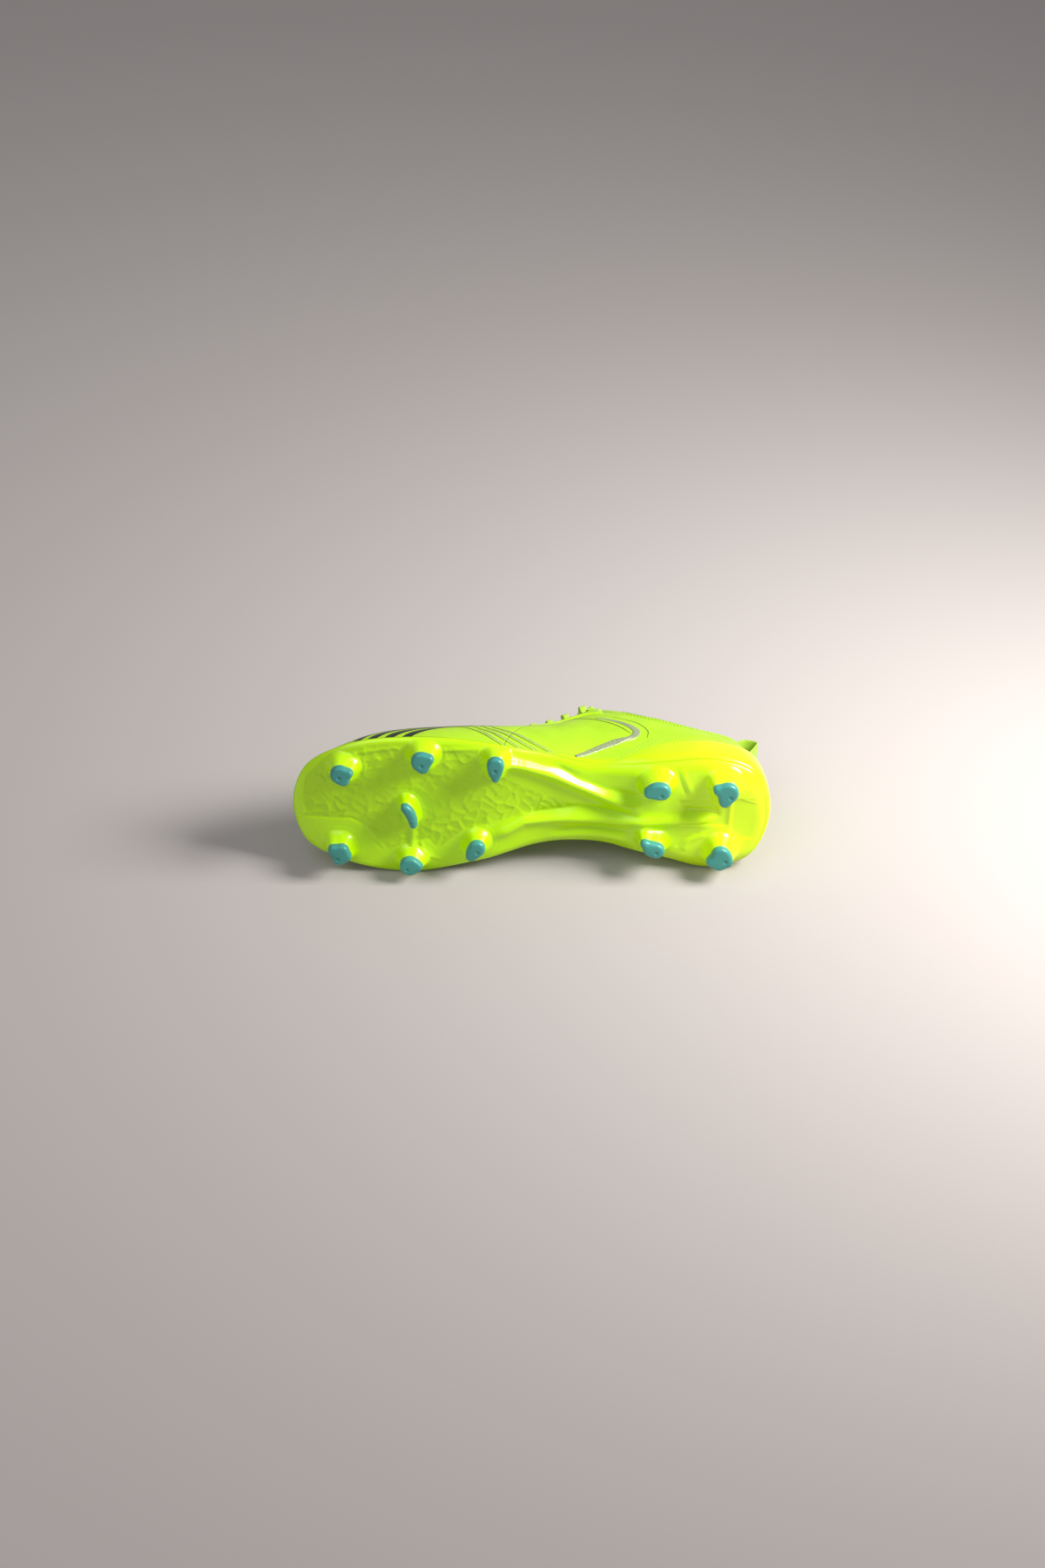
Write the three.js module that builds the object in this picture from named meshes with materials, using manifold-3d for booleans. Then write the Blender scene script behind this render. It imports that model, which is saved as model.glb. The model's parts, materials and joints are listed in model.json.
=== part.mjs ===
// Moulded-stud soccer boot for the left foot, in millimetres.
// +Z is up, the toe points to -Y, the outer (lateral) side faces +X and the studs stand on Z = 0.
import * as THREE from 'three';
import Module from 'manifold-3d';
import { mergeVertices } from 'three/addons/utils/BufferGeometryUtils.js';

// ---- Overall sizes ----
const LENGTH = 287;
const BALL_WIDTH = 94;
const WAIST_WIDTH = 57;
const HEEL_WIDTH = 78;
const TOE_SHIFT = -9; // the toe tip lies toward the big toe
const HEEL_SHIFT = -2.5;
const STUD_HEIGHT = 12; // ground to plate under the ball of the foot
const HEEL_LIFT = 2;
const ARCH_LIFT = 5;
const TOE_SPRING = 6;

// ---- Top line of the upper ----
const THROAT_FRONT_HEIGHT = 66;
const THROAT_TOP_HEIGHT = 97;
const ANKLE_HEIGHT = 68;
const HEEL_HEIGHT = 82;
const THROAT_WIDTH = 28; // across the lacing
const COLLAR_WIDTH = 56; // across the ankle opening

// ---- Walls and clearances ----
const GAP = 0.3;
const WALL_CLEARANCE = 0.6; // between the plate's rim and the upper that sits in it
const PLATE_FLOOR = 2.4;
const PLATE_WALL = 2.2;
const SHELL = 1.3;
const OVERLAY = 0.9;
const LINING = 1.0;
const STIFFENER = 1.4;
const COLLAR_FOAM = 4.2;
const BINDING = 1.6;
const BOARD = 1.5;
const SOCKLINER = 3.2;
const TONGUE = 3;
const LACE = 2.8;
const EYELET = 4.4; // hole diameter
const EYELETS_PER_SIDE = 6;
const TAB_WIDTH = 13;
const TAB_THICKNESS = 1.4;

// ---- Studs ----
const TIP_HEIGHT = 4;
const TIP_CHAMFER = 0.8;
const PEG = 2.6; // diameter of the peg that keys a tip to its stud
const PEG_LENGTH = 1.8;
const STUD_FLARE = 4; // how far a stud's foot spreads on the plate
const LOBE_BLEND = 1.2; // how softly the lobes of a tip run together
// Tips: round lobes as [x, y, diameter] from the stud's middle, toward the outer side and the heel.
const STUDS = [
  { name: 'toe_lateral', side: 1, along: -0.393, margin: 13.6,
    lobes: [[0.6, -0.8, 11], [1.6, 4.8, 4.4], [-3.4, 1.7, 6]] },
  { name: 'toe_medial', side: -1, along: -0.398, margin: 10.8,
    lobes: [[0, 0, 8.6], [3, -3.8, 6], [3.2, 1.7, 6.6], [-1.4, 4.2, 5.4], [-3.4, -0.4, 7]] },
  { name: 'ball_lateral', side: 1, along: -0.228, margin: 10.7,
    lobes: [[0.3, -0.4, 11.6], [2, 4.6, 4.8], [-4.2, 1, 5.8]] },
  { name: 'ball_medial', side: -1, along: -0.251, margin: 11.3, lobes: [[0, 0, 12], [-0.3, 5.6, 4]] },
  { name: 'arch_lateral', side: 1, along: -0.077, margin: 10,
    lobes: [[2.4, 0, 10], [-2.2, 0, 7.6], [-6.6, 0.2, 4]] },
  { name: 'arch_medial', side: -1, along: -0.114, margin: 15.1,
    lobes: [[1.6, 1, 9.6], [-1.5, -1.2, 7.6], [-4.4, -2.8, 5]] },
  { name: 'centre', side: 0, along: -0.251, margin: -3.9,
    lobes: [[5.8, -3, 4.7], [3.5, -0.8, 4.7], [0.6, 0.6, 4.7], [-2.7, 1.7, 4.3], [-5.8, 2.2, 3.7]] },
  { name: 'heel_front_lateral', side: 1, along: 0.257, margin: 14.3,
    lobes: [[0.4, 2.8, 10], [0.7, -0.8, 9.4], [-0.6, -4.8, 6.2]] },
  { name: 'heel_front_medial', side: -1, along: 0.254, margin: 13.6,
    lobes: [[-0.6, 2.8, 9.4], [0.6, -1.2, 8.2], [4, -4.8, 4.4]] },
  { name: 'heel_rear_lateral', side: 1, along: 0.397, margin: 16.5,
    lobes: [[1, 1.4, 12.4], [2.8, -5, 5], [-5, 0, 7]] },
  { name: 'heel_rear_medial', side: -1, along: 0.396, margin: 15.7,
    lobes: [[0.6, 1.4, 11.4], [3.4, 0, 8.4], [-2.4, -4.8, 6], [-2.2, 4.8, 5.6], [-4, 0, 7.4]] },
];

// ---- Stations of the last, toe (0) to heel (10) ----
// along: share of LENGTH from the middle. outer/inner: sole edge as a share of half the named width.
// top: point of the top line (x as a share of half the named opening, y as a share of LENGTH, height in mm).
// rise: how the wall leaves the sole edge (out, up). drop: how it arrives at the top line (out, back, down).
const rowTop = (opening, x, y, z) => [x * opening / 2, y * LENGTH, z];
const throatHeight = (share) => THREE.MathUtils.lerp(THROAT_FRONT_HEIGHT, THROAT_TOP_HEIGHT, share);
const LAST = [
  { along: -0.5, width: BALL_WIDTH, outer: 0, inner: 0, top: rowTop(THROAT_WIDTH, 0, -0.1, throatHeight(0)),
    rise: [0, 21], drop: [0, -46, -4] },
  { along: -0.472, width: BALL_WIDTH, outer: 0.42, inner: 0.68, top: rowTop(THROAT_WIDTH, 0.33, -0.098, throatHeight(0.01)),
    rise: [1, 21], drop: [8, -38, -4] },
  { along: -0.389, width: BALL_WIDTH, outer: 0.78, inner: 0.93, top: rowTop(THROAT_WIDTH, 0.62, -0.09, throatHeight(0.04)),
    rise: [3.5, 21], drop: [15, -16, -5] },
  { along: -0.253, width: BALL_WIDTH, outer: 0.93, inner: 1.06, top: rowTop(THROAT_WIDTH, 0.86, -0.068, throatHeight(0.13)),
    rise: [2.5, 19], drop: [18, -6, -8] },
  { along: -0.112, width: BALL_WIDTH, outer: 0.9, inner: 0.87, top: rowTop(THROAT_WIDTH, 1, -0.02, throatHeight(0.34)),
    rise: [1, 20], drop: [18, -2, -12] },
  { along: 0.014, width: WAIST_WIDTH, outer: 1.23, inner: 1.06, top: rowTop(THROAT_WIDTH, 1.06, 0.05, throatHeight(0.66)),
    rise: [1, 22], drop: [18, 0, -18] },
  { along: 0.14, width: WAIST_WIDTH, outer: 1.035, inner: 1.01, top: rowTop(THROAT_WIDTH, 1.55, 0.135, throatHeight(1)),
    rise: [4, 22], drop: [13, 0, -30] },
  { along: 0.274, width: HEEL_WIDTH, outer: 0.86, inner: 0.92, top: rowTop(COLLAR_WIDTH, 1, 0.25, ANKLE_HEIGHT + 10),
    rise: [3, 18], drop: [4, 0, -18] },
  { along: 0.379, width: HEEL_WIDTH, outer: 0.93, inner: 1.08, top: rowTop(COLLAR_WIDTH, 0.95, 0.345, ANKLE_HEIGHT),
    rise: [1, 18], drop: [5, 2, -15] },
  { along: 0.463, width: HEEL_WIDTH, outer: 0.7, inner: 0.86, top: rowTop(COLLAR_WIDTH, 0.62, 0.425, ANKLE_HEIGHT + 6),
    rise: [1, 20], drop: [5, 4, -18] },
  { along: 0.5, width: HEEL_WIDTH, outer: 0, inner: 0, top: rowTop(COLLAR_WIDTH, 0, 0.452, HEEL_HEIGHT),
    rise: [1, 22], drop: [0, 8, -22] },
];
const HEEL = LAST.length - 1; // station number of the heel; the inner side runs on from it
const LOOP = 2 * HEEL;

const wasm = await Module();
wasm.setup();

// ---- Height of the plate's underside along the boot ----
function smooth(from, to, value) {
  return THREE.MathUtils.smoothstep(value, from, to);
}

function plateBottom(y) {
  const along = y / LENGTH;
  const toe = Math.max(0, (-0.35 - along) / 0.15);
  const arch = smooth(-0.1, 0.06, along) * (1 - smooth(0.12, 0.25, along));
  return STUD_HEIGHT + TOE_SPRING * toe * toe + ARCH_LIFT * arch + HEEL_LIFT * smooth(0.08, 0.25, along);
}

// ---- The last as a closed loop of stations: outer side 0 to HEEL, inner side HEEL to LOOP ----
function loopRow(index) {
  const i = ((index % LOOP) + LOOP) % LOOP;
  const outer = i <= HEEL;
  const row = LAST[outer ? i : LOOP - i];
  const sign = outer ? 1 : -1;
  let x = sign * (outer ? row.outer : row.inner) * row.width / 2;
  if (i === 0) x = TOE_SHIFT;
  if (i === HEEL) x = HEEL_SHIFT;
  const [tx, ty, tz] = row.top;
  const [dx, dy, dz] = row.drop;
  return [x, row.along * LENGTH, sign * tx, ty, tz, ...row.rise, sign * dx, dy, dz];
}
const ROWS = Array.from({ length: LOOP }, (_, i) => loopRow(i));

function chord(i) {
  const a = ROWS[(i + LOOP) % LOOP];
  const b = ROWS[(i + 1 + LOOP) % LOOP];
  return Math.hypot(b[0] - a[0], b[1] - a[1]);
}

function slope(i, c) {
  const before = chord(i - 1);
  const after = chord(i);
  const [p, q, r] = [i - 1, i, i + 1].map((j) => ROWS[(j + LOOP) % LOOP][c]);
  return ((r - q) / after * before + (q - p) / before * after) / (before + after);
}

function loopValue(s, c) {
  const wrapped = ((s % LOOP) + LOOP) % LOOP;
  const i = Math.floor(wrapped);
  const t = wrapped - i;
  const h = chord(i);
  const [p, q] = [ROWS[i][c], ROWS[(i + 1) % LOOP][c]];
  const [t2, t3] = [t * t, t * t * t];
  return p * (2 * t3 - 3 * t2 + 1) + q * (3 * t2 - 2 * t3)
    + h * (slope(i, c) * (t3 - 2 * t2 + t) + slope(i + 1, c) * (t3 - t2));
}

// Point of the sole's widest line at station s, moved inward by inset.
function edgePoint(s, inset) {
  const [x, y] = [loopValue(s, 0), loopValue(s, 1)];
  const step = 0.02;
  const dx = loopValue(s + step, 0) - loopValue(s - step, 0);
  const dy = loopValue(s + step, 1) - loopValue(s - step, 1);
  const size = Math.hypot(dx, dy);
  return { x: x - inset * dy / size, y: y + inset * dx / size, nx: dy / size, ny: -dx / size };
}

// Outer face of the upper: station s around the boot, rise k from the sole (0) to the top line (1).
function upperFace(s, k) {
  const foot = edgePoint(s, PLATE_WALL + WALL_CLEARANCE);
  const start = new THREE.Vector3(foot.x, foot.y, plateBottom(foot.y) + PLATE_FLOOR + GAP);
  const top = new THREE.Vector3(loopValue(s, 2), loopValue(s, 3), loopValue(s, 4));
  const [out, up] = [loopValue(s, 5), loopValue(s, 6)];
  const leave = start.clone().add(new THREE.Vector3(foot.nx * out, foot.ny * out, up));
  const arrive = top.clone().add(new THREE.Vector3(loopValue(s, 7), loopValue(s, 8), loopValue(s, 9)));
  return new THREE.CubicBezierCurve3(start, leave, arrive, top).getPoint(k);
}

function upperNormal(s, k) {
  const e = 0.01;
  const k0 = Math.max(0, k - e);
  const k1 = Math.min(1, k + e);
  const alongLoop = upperFace(s + e, k).sub(upperFace(s - e, k));
  const alongRise = upperFace(s, k1).sub(upperFace(s, k0));
  const normal = alongLoop.cross(alongRise).normalize();
  // Layers leave the sole side by side, so their lower ends share one height.
  normal.z *= smooth(0, 0.15, k);
  return normal.normalize();
}

// Point at a depth below the outer face; a negative depth stands proud of it.
function upperPoint(s, k, depth) {
  return upperFace(s, k).addScaledVector(upperNormal(s, k), -depth);
}

// ---- Mesh helpers ----
function meshGeometry(points, faces) {
  const geometry = new THREE.BufferGeometry().setFromPoints(points);
  geometry.setIndex(faces.flat());
  return geometry;
}

function mergedGeometry(geometry) {
  const plain = geometry.clone();
  plain.deleteAttribute('normal');
  plain.deleteAttribute('uv');
  return mergeVertices(plain, 1e-4);
}

function toSolid(geometry) {
  const merged = mergedGeometry(geometry);
  return new wasm.Manifold(new wasm.Mesh({
    numProp: 3,
    vertProperties: new Float32Array(merged.attributes.position.array),
    triVerts: new Uint32Array(merged.index.array),
  }));
}

function fromSolid(solid) {
  const { vertProperties, triVerts } = solid.getMesh();
  const geometry = new THREE.BufferGeometry();
  geometry.setAttribute('position', new THREE.BufferAttribute(new Float32Array(vertProperties), 3));
  geometry.setIndex(new THREE.BufferAttribute(new Uint32Array(triVerts), 1));
  return geometry;
}

// Closed solid between two grids of points [i][j]; i may run around a closed loop.
function slab(outer, inner, closed = false) {
  const [ni, nj] = [outer.length, outer[0].length];
  const points = [...outer.flat(), ...inner.flat()];
  const at = (layer, i, j) => layer * ni * nj + (i % ni) * nj + j;
  const faces = [];
  const quad = (a, b, c, d) => faces.push([a, b, c], [a, c, d]);
  const spans = closed ? ni : ni - 1;
  for (let i = 0; i < spans; i += 1) {
    for (let j = 0; j < nj - 1; j += 1) {
      quad(at(0, i, j), at(0, i + 1, j), at(0, i + 1, j + 1), at(0, i, j + 1));
      quad(at(1, i, j), at(1, i, j + 1), at(1, i + 1, j + 1), at(1, i + 1, j));
    }
    quad(at(0, i, 0), at(1, i, 0), at(1, i + 1, 0), at(0, i + 1, 0));
    quad(at(0, i, nj - 1), at(0, i + 1, nj - 1), at(1, i + 1, nj - 1), at(1, i, nj - 1));
  }
  for (let j = 0; j < nj - 1 && !closed; j += 1) {
    quad(at(0, 0, j), at(0, 0, j + 1), at(1, 0, j + 1), at(1, 0, j));
    quad(at(0, ni - 1, j), at(1, ni - 1, j), at(1, ni - 1, j + 1), at(0, ni - 1, j + 1));
  }
  return meshGeometry(points, faces);
}

// Closed solid through a stack of rings; each end is closed by rungs from side to side.
function ringStack(rings) {
  const n = rings[0].length;
  const faces = [];
  const last = (rings.length - 1) * n;
  for (let r = 0; r < rings.length - 1; r += 1) {
    for (let i = 0; i < n; i += 1) {
      const j = (i + 1) % n;
      faces.push([r * n + i, r * n + j, r * n + n + j], [r * n + i, r * n + n + j, r * n + n + i]);
    }
  }
  for (let i = 0; i < n / 2; i += 1) {
    const [a, b, c, d] = [i, i + 1, n - i - 1, (n - i) % n];
    faces.push([c, b, a], [last + a, last + b, last + c]);
    if (i > 0) faces.push([d, c, a], [last + a, last + c, last + d]);
  }
  const used = faces.filter(([a, b, c]) => a !== b && b !== c && c !== a);
  return meshGeometry(rings.flat(), used);
}

// Values from one end to the other that fall on the common multiples of a step, so that the facets of
// neighbouring layers lie side by side.
const STATION_STEP = 0.4;
const RISE_STEP = 0.1;

function stops(from, to, step) {
  const inside = [];
  for (let m = Math.floor(from / step); m * step < to - 0.2 * step; m += 1) {
    if (m * step > from + 0.2 * step) inside.push(m * step);
  }
  return [from, ...inside, to];
}

// Part of the upper between two stations and two rises, from one depth to another.
function upperPatch({ from, to, low = 0, high = 1, depth, thickness, closed = false, lean = () => 0 }) {
  const depthAt = (s, k) => (typeof depth === 'function' ? depth(s, k) : depth);
  const columns = stops(from, to, STATION_STEP);
  if (closed) columns.pop();
  const rows = stops(low, high, RISE_STEP);
  const grid = (extra) => columns.map((column) => rows.map((k) => {
    const s = column + lean(k);
    return upperPoint(s, k, depthAt(s, k) + extra);
  }));
  return slab(grid(0), grid(thickness), closed);
}

function tube(points, radius, sides, steps) {
  const section = new THREE.Shape();
  for (let i = 0; i < sides; i += 1) {
    const angle = 2 * Math.PI * i / sides;
    const [x, y] = [radius * Math.cos(angle), radius * Math.sin(angle)];
    if (i === 0) section.moveTo(x, y);
    else section.lineTo(x, y);
  }
  const path = new THREE.CatmullRomCurve3(points, false, 'centripetal');
  return new THREE.ExtrudeGeometry(section, { steps, extrudePath: path, bevelEnabled: false });
}

// ---- Studs ----
const STUD_RAYS = 20;

// How far a point of the plan lies outside a tip's lobes, which run softly together.
function lobeDistance(lobes, x, y) {
  const pull = ([lobeX, lobeY, width]) => Math.exp((width / 2 - Math.hypot(x - lobeX, y - lobeY)) / LOBE_BLEND);
  return -LOBE_BLEND * Math.log(lobes.reduce((sum, lobe) => sum + pull(lobe), 0));
}

// Outline of a tip grown outward by extra: the point on each ray from the middle that lies just outside it.
function lobeOutline({ lobes }, extra) {
  return Array.from({ length: STUD_RAYS }, (_, i) => {
    const [c, s] = [Math.cos(2 * Math.PI * i / STUD_RAYS), Math.sin(2 * Math.PI * i / STUD_RAYS)];
    let [inside, outside] = [0, 20];
    for (let turn = 0; turn < 24; turn += 1) {
      const middle = (inside + outside) / 2;
      if (lobeDistance(lobes, middle * c, middle * s) < extra) inside = middle;
      else outside = middle;
    }
    return [inside * c, inside * s];
  });
}

// Solid through copies of an outline, each at its own height and growth; closed at both ends by a fan.
function lobeStack(stud, levels) {
  const rings = levels.map(([z, extra]) => lobeOutline(stud, extra).map(([x, y]) => new THREE.Vector3(x, y, z)));
  const n = rings[0].length;
  const middle = (ring) => ring.reduce((sum, p) => sum.add(p), new THREE.Vector3()).divideScalar(n);
  const points = [...rings.flat(), middle(rings[0]), middle(rings.at(-1))];
  const last = (rings.length - 1) * n;
  const faces = [];
  for (let i = 0; i < n; i += 1) {
    const j = (i + 1) % n;
    for (let r = 0; r < rings.length - 1; r += 1) {
      faces.push([r * n + i, r * n + j, r * n + n + j], [r * n + i, r * n + n + j, r * n + n + i]);
    }
    faces.push([points.length - 2, j, i], [points.length - 1, last + i, last + j]);
  }
  return meshGeometry(points, faces);
}

// Station of the sole edge at height y along the boot, on the outer (1) or inner (-1) side.
function stationAt(side, y) {
  let [low, high] = [0, HEEL];
  for (let i = 0; i < 30; i += 1) {
    const middle = (low + high) / 2;
    if (loopValue(side > 0 ? middle : LOOP - middle, 1) < y) low = middle;
    else high = middle;
  }
  return side > 0 ? low : LOOP - low;
}

function studPlace({ side, along, margin }) {
  const y = along * LENGTH;
  if (side === 0) return { x: margin, y };
  return { x: loopValue(stationAt(side, y), 0) - side * margin, y };
}

function pegSolid(radius, low, high) {
  const peg = new THREE.CylinderGeometry(radius, radius, high - low, 10);
  return toSolid(peg.rotateX(Math.PI / 2).translate(0, 0, (low + high) / 2));
}

function studFoot(stud) {
  const { x, y } = studPlace(stud);
  const root = plateBottom(y) + 1;
  const neck = TIP_HEIGHT + GAP;
  const foot = toSolid(lobeStack(stud, [
    [neck, 0.2],
    [neck + (root - neck) * 0.45, 1],
    [root - 1.8, 2.2],
    [root, STUD_FLARE],
  ]));
  return foot.add(pegSolid(PEG / 2, neck - PEG_LENGTH, neck + 1)).translate([x, y, 0]);
}

function studTip(stud) {
  const tip = toSolid(lobeStack(stud, [[0, -TIP_CHAMFER], [TIP_CHAMFER, -0.2], [TIP_HEIGHT, 0.2]]));
  const socket = pegSolid(PEG / 2 + GAP, TIP_HEIGHT - PEG_LENGTH, TIP_HEIGHT + 1);
  const { x, y } = studPlace(stud);
  return fromSolid(tip.subtract(socket)).translate(x, y, 0);
}

// ---- Outsole plate: a shallow tray that rises into a cup around the heel ----
const RING = LOOP / STATION_STEP; // points around a ring, even

function ring(pointAt) {
  return Array.from({ length: RING }, (_, i) => pointAt(LOOP * i / RING));
}

// Ring parallel to the sole's edge; inset and height may be functions of the station.
function soleRing(inset, height) {
  const value = (v, s) => (typeof v === 'function' ? v(s) : v);
  return ring((s) => {
    const p = edgePoint(s, value(inset, s));
    return new THREE.Vector3(p.x, p.y, plateBottom(p.y) + value(height, s));
  });
}

// How far up the upper the plate's rim reaches at a station.
function rimRise(s) {
  const fromHeel = Math.abs(s - HEEL);
  const toe = 1 - smooth(0, 1.6, Math.min(s, LOOP - s));
  const step = (size, from, to) => size * (1 - smooth(from, to, fromHeel));
  return 0.01 + 0.012 * toe + step(0.026, 6.2, 7) + step(0.35, 2.5, 4.15) + step(0.075, 1.2, 2.75);
}

function wallRing(share, depth) {
  return ring((s) => upperPoint(s, share * rimRise(s), depth));
}

function outsolePlate() {
  const outside = -(PLATE_WALL + WALL_CLEARANCE);
  const tray = ringStack([
    soleRing(14, 0),
    soleRing(5, 0.2),
    soleRing(1.6, 1),
    ...[0, 0.33, 0.66, 0.94].map((share) => wallRing(share, outside)),
    wallRing(1, outside + 0.8),
    ...[1, 0.66, 0.33].map((share) => wallRing(share, -WALL_CLEARANCE)),
    soleRing(PLATE_WALL, PLATE_FLOOR),
    soleRing(bedInset, PLATE_FLOOR),
    soleRing((s) => bedInset(s) + BED_SLOPE, PLATE_FLOOR),
  ]);
  return fromSolid(STUDS.reduce((solid, stud) => solid.add(studFoot(stud)), toSolid(tray)));
}

// ---- Layers inside the upper ----
function near(s, centre) {
  const d = Math.abs(((s - centre) % LOOP + LOOP) % LOOP);
  return Math.min(d, LOOP - d);
}

const STIFFENER_DEPTH = SHELL + GAP;
const TOE_PUFF = { reach: 2.4, low: 0.1, high: 0.4 };
const COUNTER = { reach: 2.4, low: 0.1, high: 0.5 };
const FOAM = { reach: 3.6, low: 0.6, high: 0.97 };

function band(value, low, high, fade) {
  return smooth(low - fade, low, value) * (1 - smooth(high, high + fade, value));
}

function liningDepth(s, k) {
  const puff = (1 - smooth(TOE_PUFF.reach, TOE_PUFF.reach + 0.8, near(s, 0))) * (1 - smooth(0.44, 0.58, k));
  const heelSide = near(s, HEEL);
  const counter = (1 - smooth(COUNTER.reach, COUNTER.reach + 0.8, heelSide)) * (1 - smooth(0.6, 0.7, k));
  const foam = (1 - smooth(FOAM.reach, FOAM.reach + 0.6, heelSide)) * band(k, FOAM.low - 0.02, 1.1, 0.1);
  const stiff = (STIFFENER + GAP) * Math.max(puff, counter);
  return SHELL + GAP + Math.max(stiff, (COLLAR_FOAM + GAP) * foam);
}

function eyeletStation(side, index) {
  const y = LENGTH * THREE.MathUtils.lerp(-0.068, 0.108, index / (EYELETS_PER_SIDE - 1));
  let [low, high] = [1, 7];
  for (let i = 0; i < 30; i += 1) {
    const middle = (low + high) / 2;
    if (loopValue(middle, 3) < y) low = middle;
    else high = middle;
  }
  return side > 0 ? low : LOOP - low;
}
const EYELET_RISE = 0.93;
const SIDES = { lateral: 1, medial: -1 };

function eyeletHoles() {
  const holes = [];
  for (const side of Object.values(SIDES)) {
    for (let i = 0; i < EYELETS_PER_SIDE; i += 1) {
      const s = eyeletStation(side, i);
      const hole = new THREE.CylinderGeometry(EYELET / 2, EYELET / 2, 14, 8);
      const turn = new THREE.Quaternion().setFromUnitVectors(new THREE.Vector3(0, 1, 0), upperNormal(s, EYELET_RISE));
      const place = upperFace(s, EYELET_RISE);
      holes.push(toSolid(hole.applyQuaternion(turn).translate(place.x, place.y, place.z)));
    }
  }
  return holes;
}

function punched(geometry) {
  return fromSolid(eyeletHoles().reduce((solid, hole) => solid.subtract(hole), toSolid(geometry)));
}

const VAMP_END = 4.4;
const QUARTER_END = 8.3;
const JOIN = 0.02; // stations between neighbouring panels

function panelOn(side, from, to) {
  return side > 0 ? { from, to } : { from: LOOP - to, to: LOOP - from };
}

function vamp() {
  return punched(upperPatch({ from: -VAMP_END + JOIN, to: VAMP_END - JOIN, depth: 0, thickness: SHELL }));
}

function quarter(side) {
  return punched(upperPatch({ ...panelOn(side, VAMP_END, QUARTER_END), depth: 0, thickness: SHELL }));
}

function heelPanel() {
  return upperPatch({ from: QUARTER_END + JOIN, to: LOOP - QUARTER_END - JOIN, depth: 0, thickness: SHELL });
}

function eyestay(side) {
  return punched(upperPatch({ ...panelOn(side, 1.2, 6.1), low: 0.84, high: 0.985, depth: -GAP - OVERLAY,
    thickness: OVERLAY }));
}

const BAND_REACH = 1.7; // stations that the elbow of the side band reaches back
const BAND_ELBOW = 0.48; // rise of the elbow

function sideBand(side) {
  const lean = (k) => side * BAND_REACH * (1 - (Math.abs(k - BAND_ELBOW) / BAND_ELBOW) ** 1.6);
  return upperPatch({ ...panelOn(side, 4.9, 5.15), low: 0.12, high: 0.76,
    depth: -2 * GAP - OVERLAY, thickness: OVERLAY, lean });
}

function toePuff() {
  return upperPatch({ from: -TOE_PUFF.reach, to: TOE_PUFF.reach, low: TOE_PUFF.low, high: TOE_PUFF.high,
    depth: STIFFENER_DEPTH, thickness: STIFFENER });
}

function heelCounter() {
  return upperPatch({ from: HEEL - COUNTER.reach, to: HEEL + COUNTER.reach, low: COUNTER.low, high: COUNTER.high,
    depth: STIFFENER_DEPTH, thickness: STIFFENER });
}

function collarFoam() {
  return upperPatch({ from: HEEL - FOAM.reach, to: HEEL + FOAM.reach, low: FOAM.low, high: FOAM.high,
    depth: STIFFENER_DEPTH, thickness: COLLAR_FOAM - GAP });
}

function lining() {
  return punched(upperPatch({ from: 0, to: LOOP, low: 0.01, high: 0.985, depth: liningDepth, thickness: LINING,
    closed: true }));
}

// Rounded edge that closes the layers along the ankle opening.
function collarBinding() {
  const columns = stops(HEEL - FOAM.reach + 0.1, HEEL + FOAM.reach - 0.1, STATION_STEP);
  const reach = SHELL + COLLAR_FOAM + LINING + 2 * GAP;
  const grid = (lift) => columns.map((s) => {
    const up = upperFace(s, 1).sub(upperFace(s, 0.97)).normalize();
    return [0, 0.25, 0.75, 1].map((share) => {
      const crown = lift * Math.sin(Math.PI * (0.2 + 0.6 * share));
      return upperPoint(s, 1, reach * share).addScaledVector(up, GAP + crown);
    });
  });
  return slab(grid(BINDING), grid(0));
}

// ---- Foot bed ----
const LAYERS = SHELL + GAP + STIFFENER + GAP + LINING + GAP;
const BED_SLOPE = 8;
const TOE_ROOM = 4; // the toe box leans in, so the foot bed stays further from the edge there

function bedInset(s) {
  return PLATE_WALL + WALL_CLEARANCE + LAYERS + GAP + TOE_ROOM * (1 - smooth(1.5, 4, near(s, 0)));
}

function bedSlab(low, thickness, cup) {
  const level = PLATE_FLOOR + GAP + low;
  const edge = (s) => level + thickness + cup * (1 - smooth(2, 4, near(s, HEEL)));
  return ringStack([
    soleRing((s) => bedInset(s) + BED_SLOPE, level),
    soleRing(bedInset, level),
    soleRing(bedInset, edge),
    soleRing((s) => bedInset(s) + 2, edge),
    soleRing((s) => bedInset(s) + BED_SLOPE, level + thickness),
  ]);
}

// ---- Tongue ----
const TONGUE_FRONT = -0.16;
const TONGUE_FOLD = 0.152;
const TONGUE_SLOT = 0.008; // room at the fold, as a share of LENGTH
const TONGUE_TOP = 0.2;
const TONGUE_TOP_RISE = 15; // how far the flap stands above the last eyelet
const TONGUE_HALF = 19;
const TONGUE_SINK = SHELL + GAP + LINING + 0.6; // how far the tongue lies below the throat's edges
const TONGUE_CROWN = 11;

function throatLine(along) {
  const row = LAST.findIndex((r, i) => i > 0 && r.top[1] >= along * LENGTH);
  const [a, b] = [LAST[Math.max(row, 1) - 1].top, LAST[Math.max(row, 1)].top];
  if (along * LENGTH <= LAST[0].top[1]) return LAST[0].top[2] + (along * LENGTH - LAST[0].top[1]) * 0.36;
  return THREE.MathUtils.mapLinear(along * LENGTH, a[1], b[1], a[2], b[2]);
}

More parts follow.
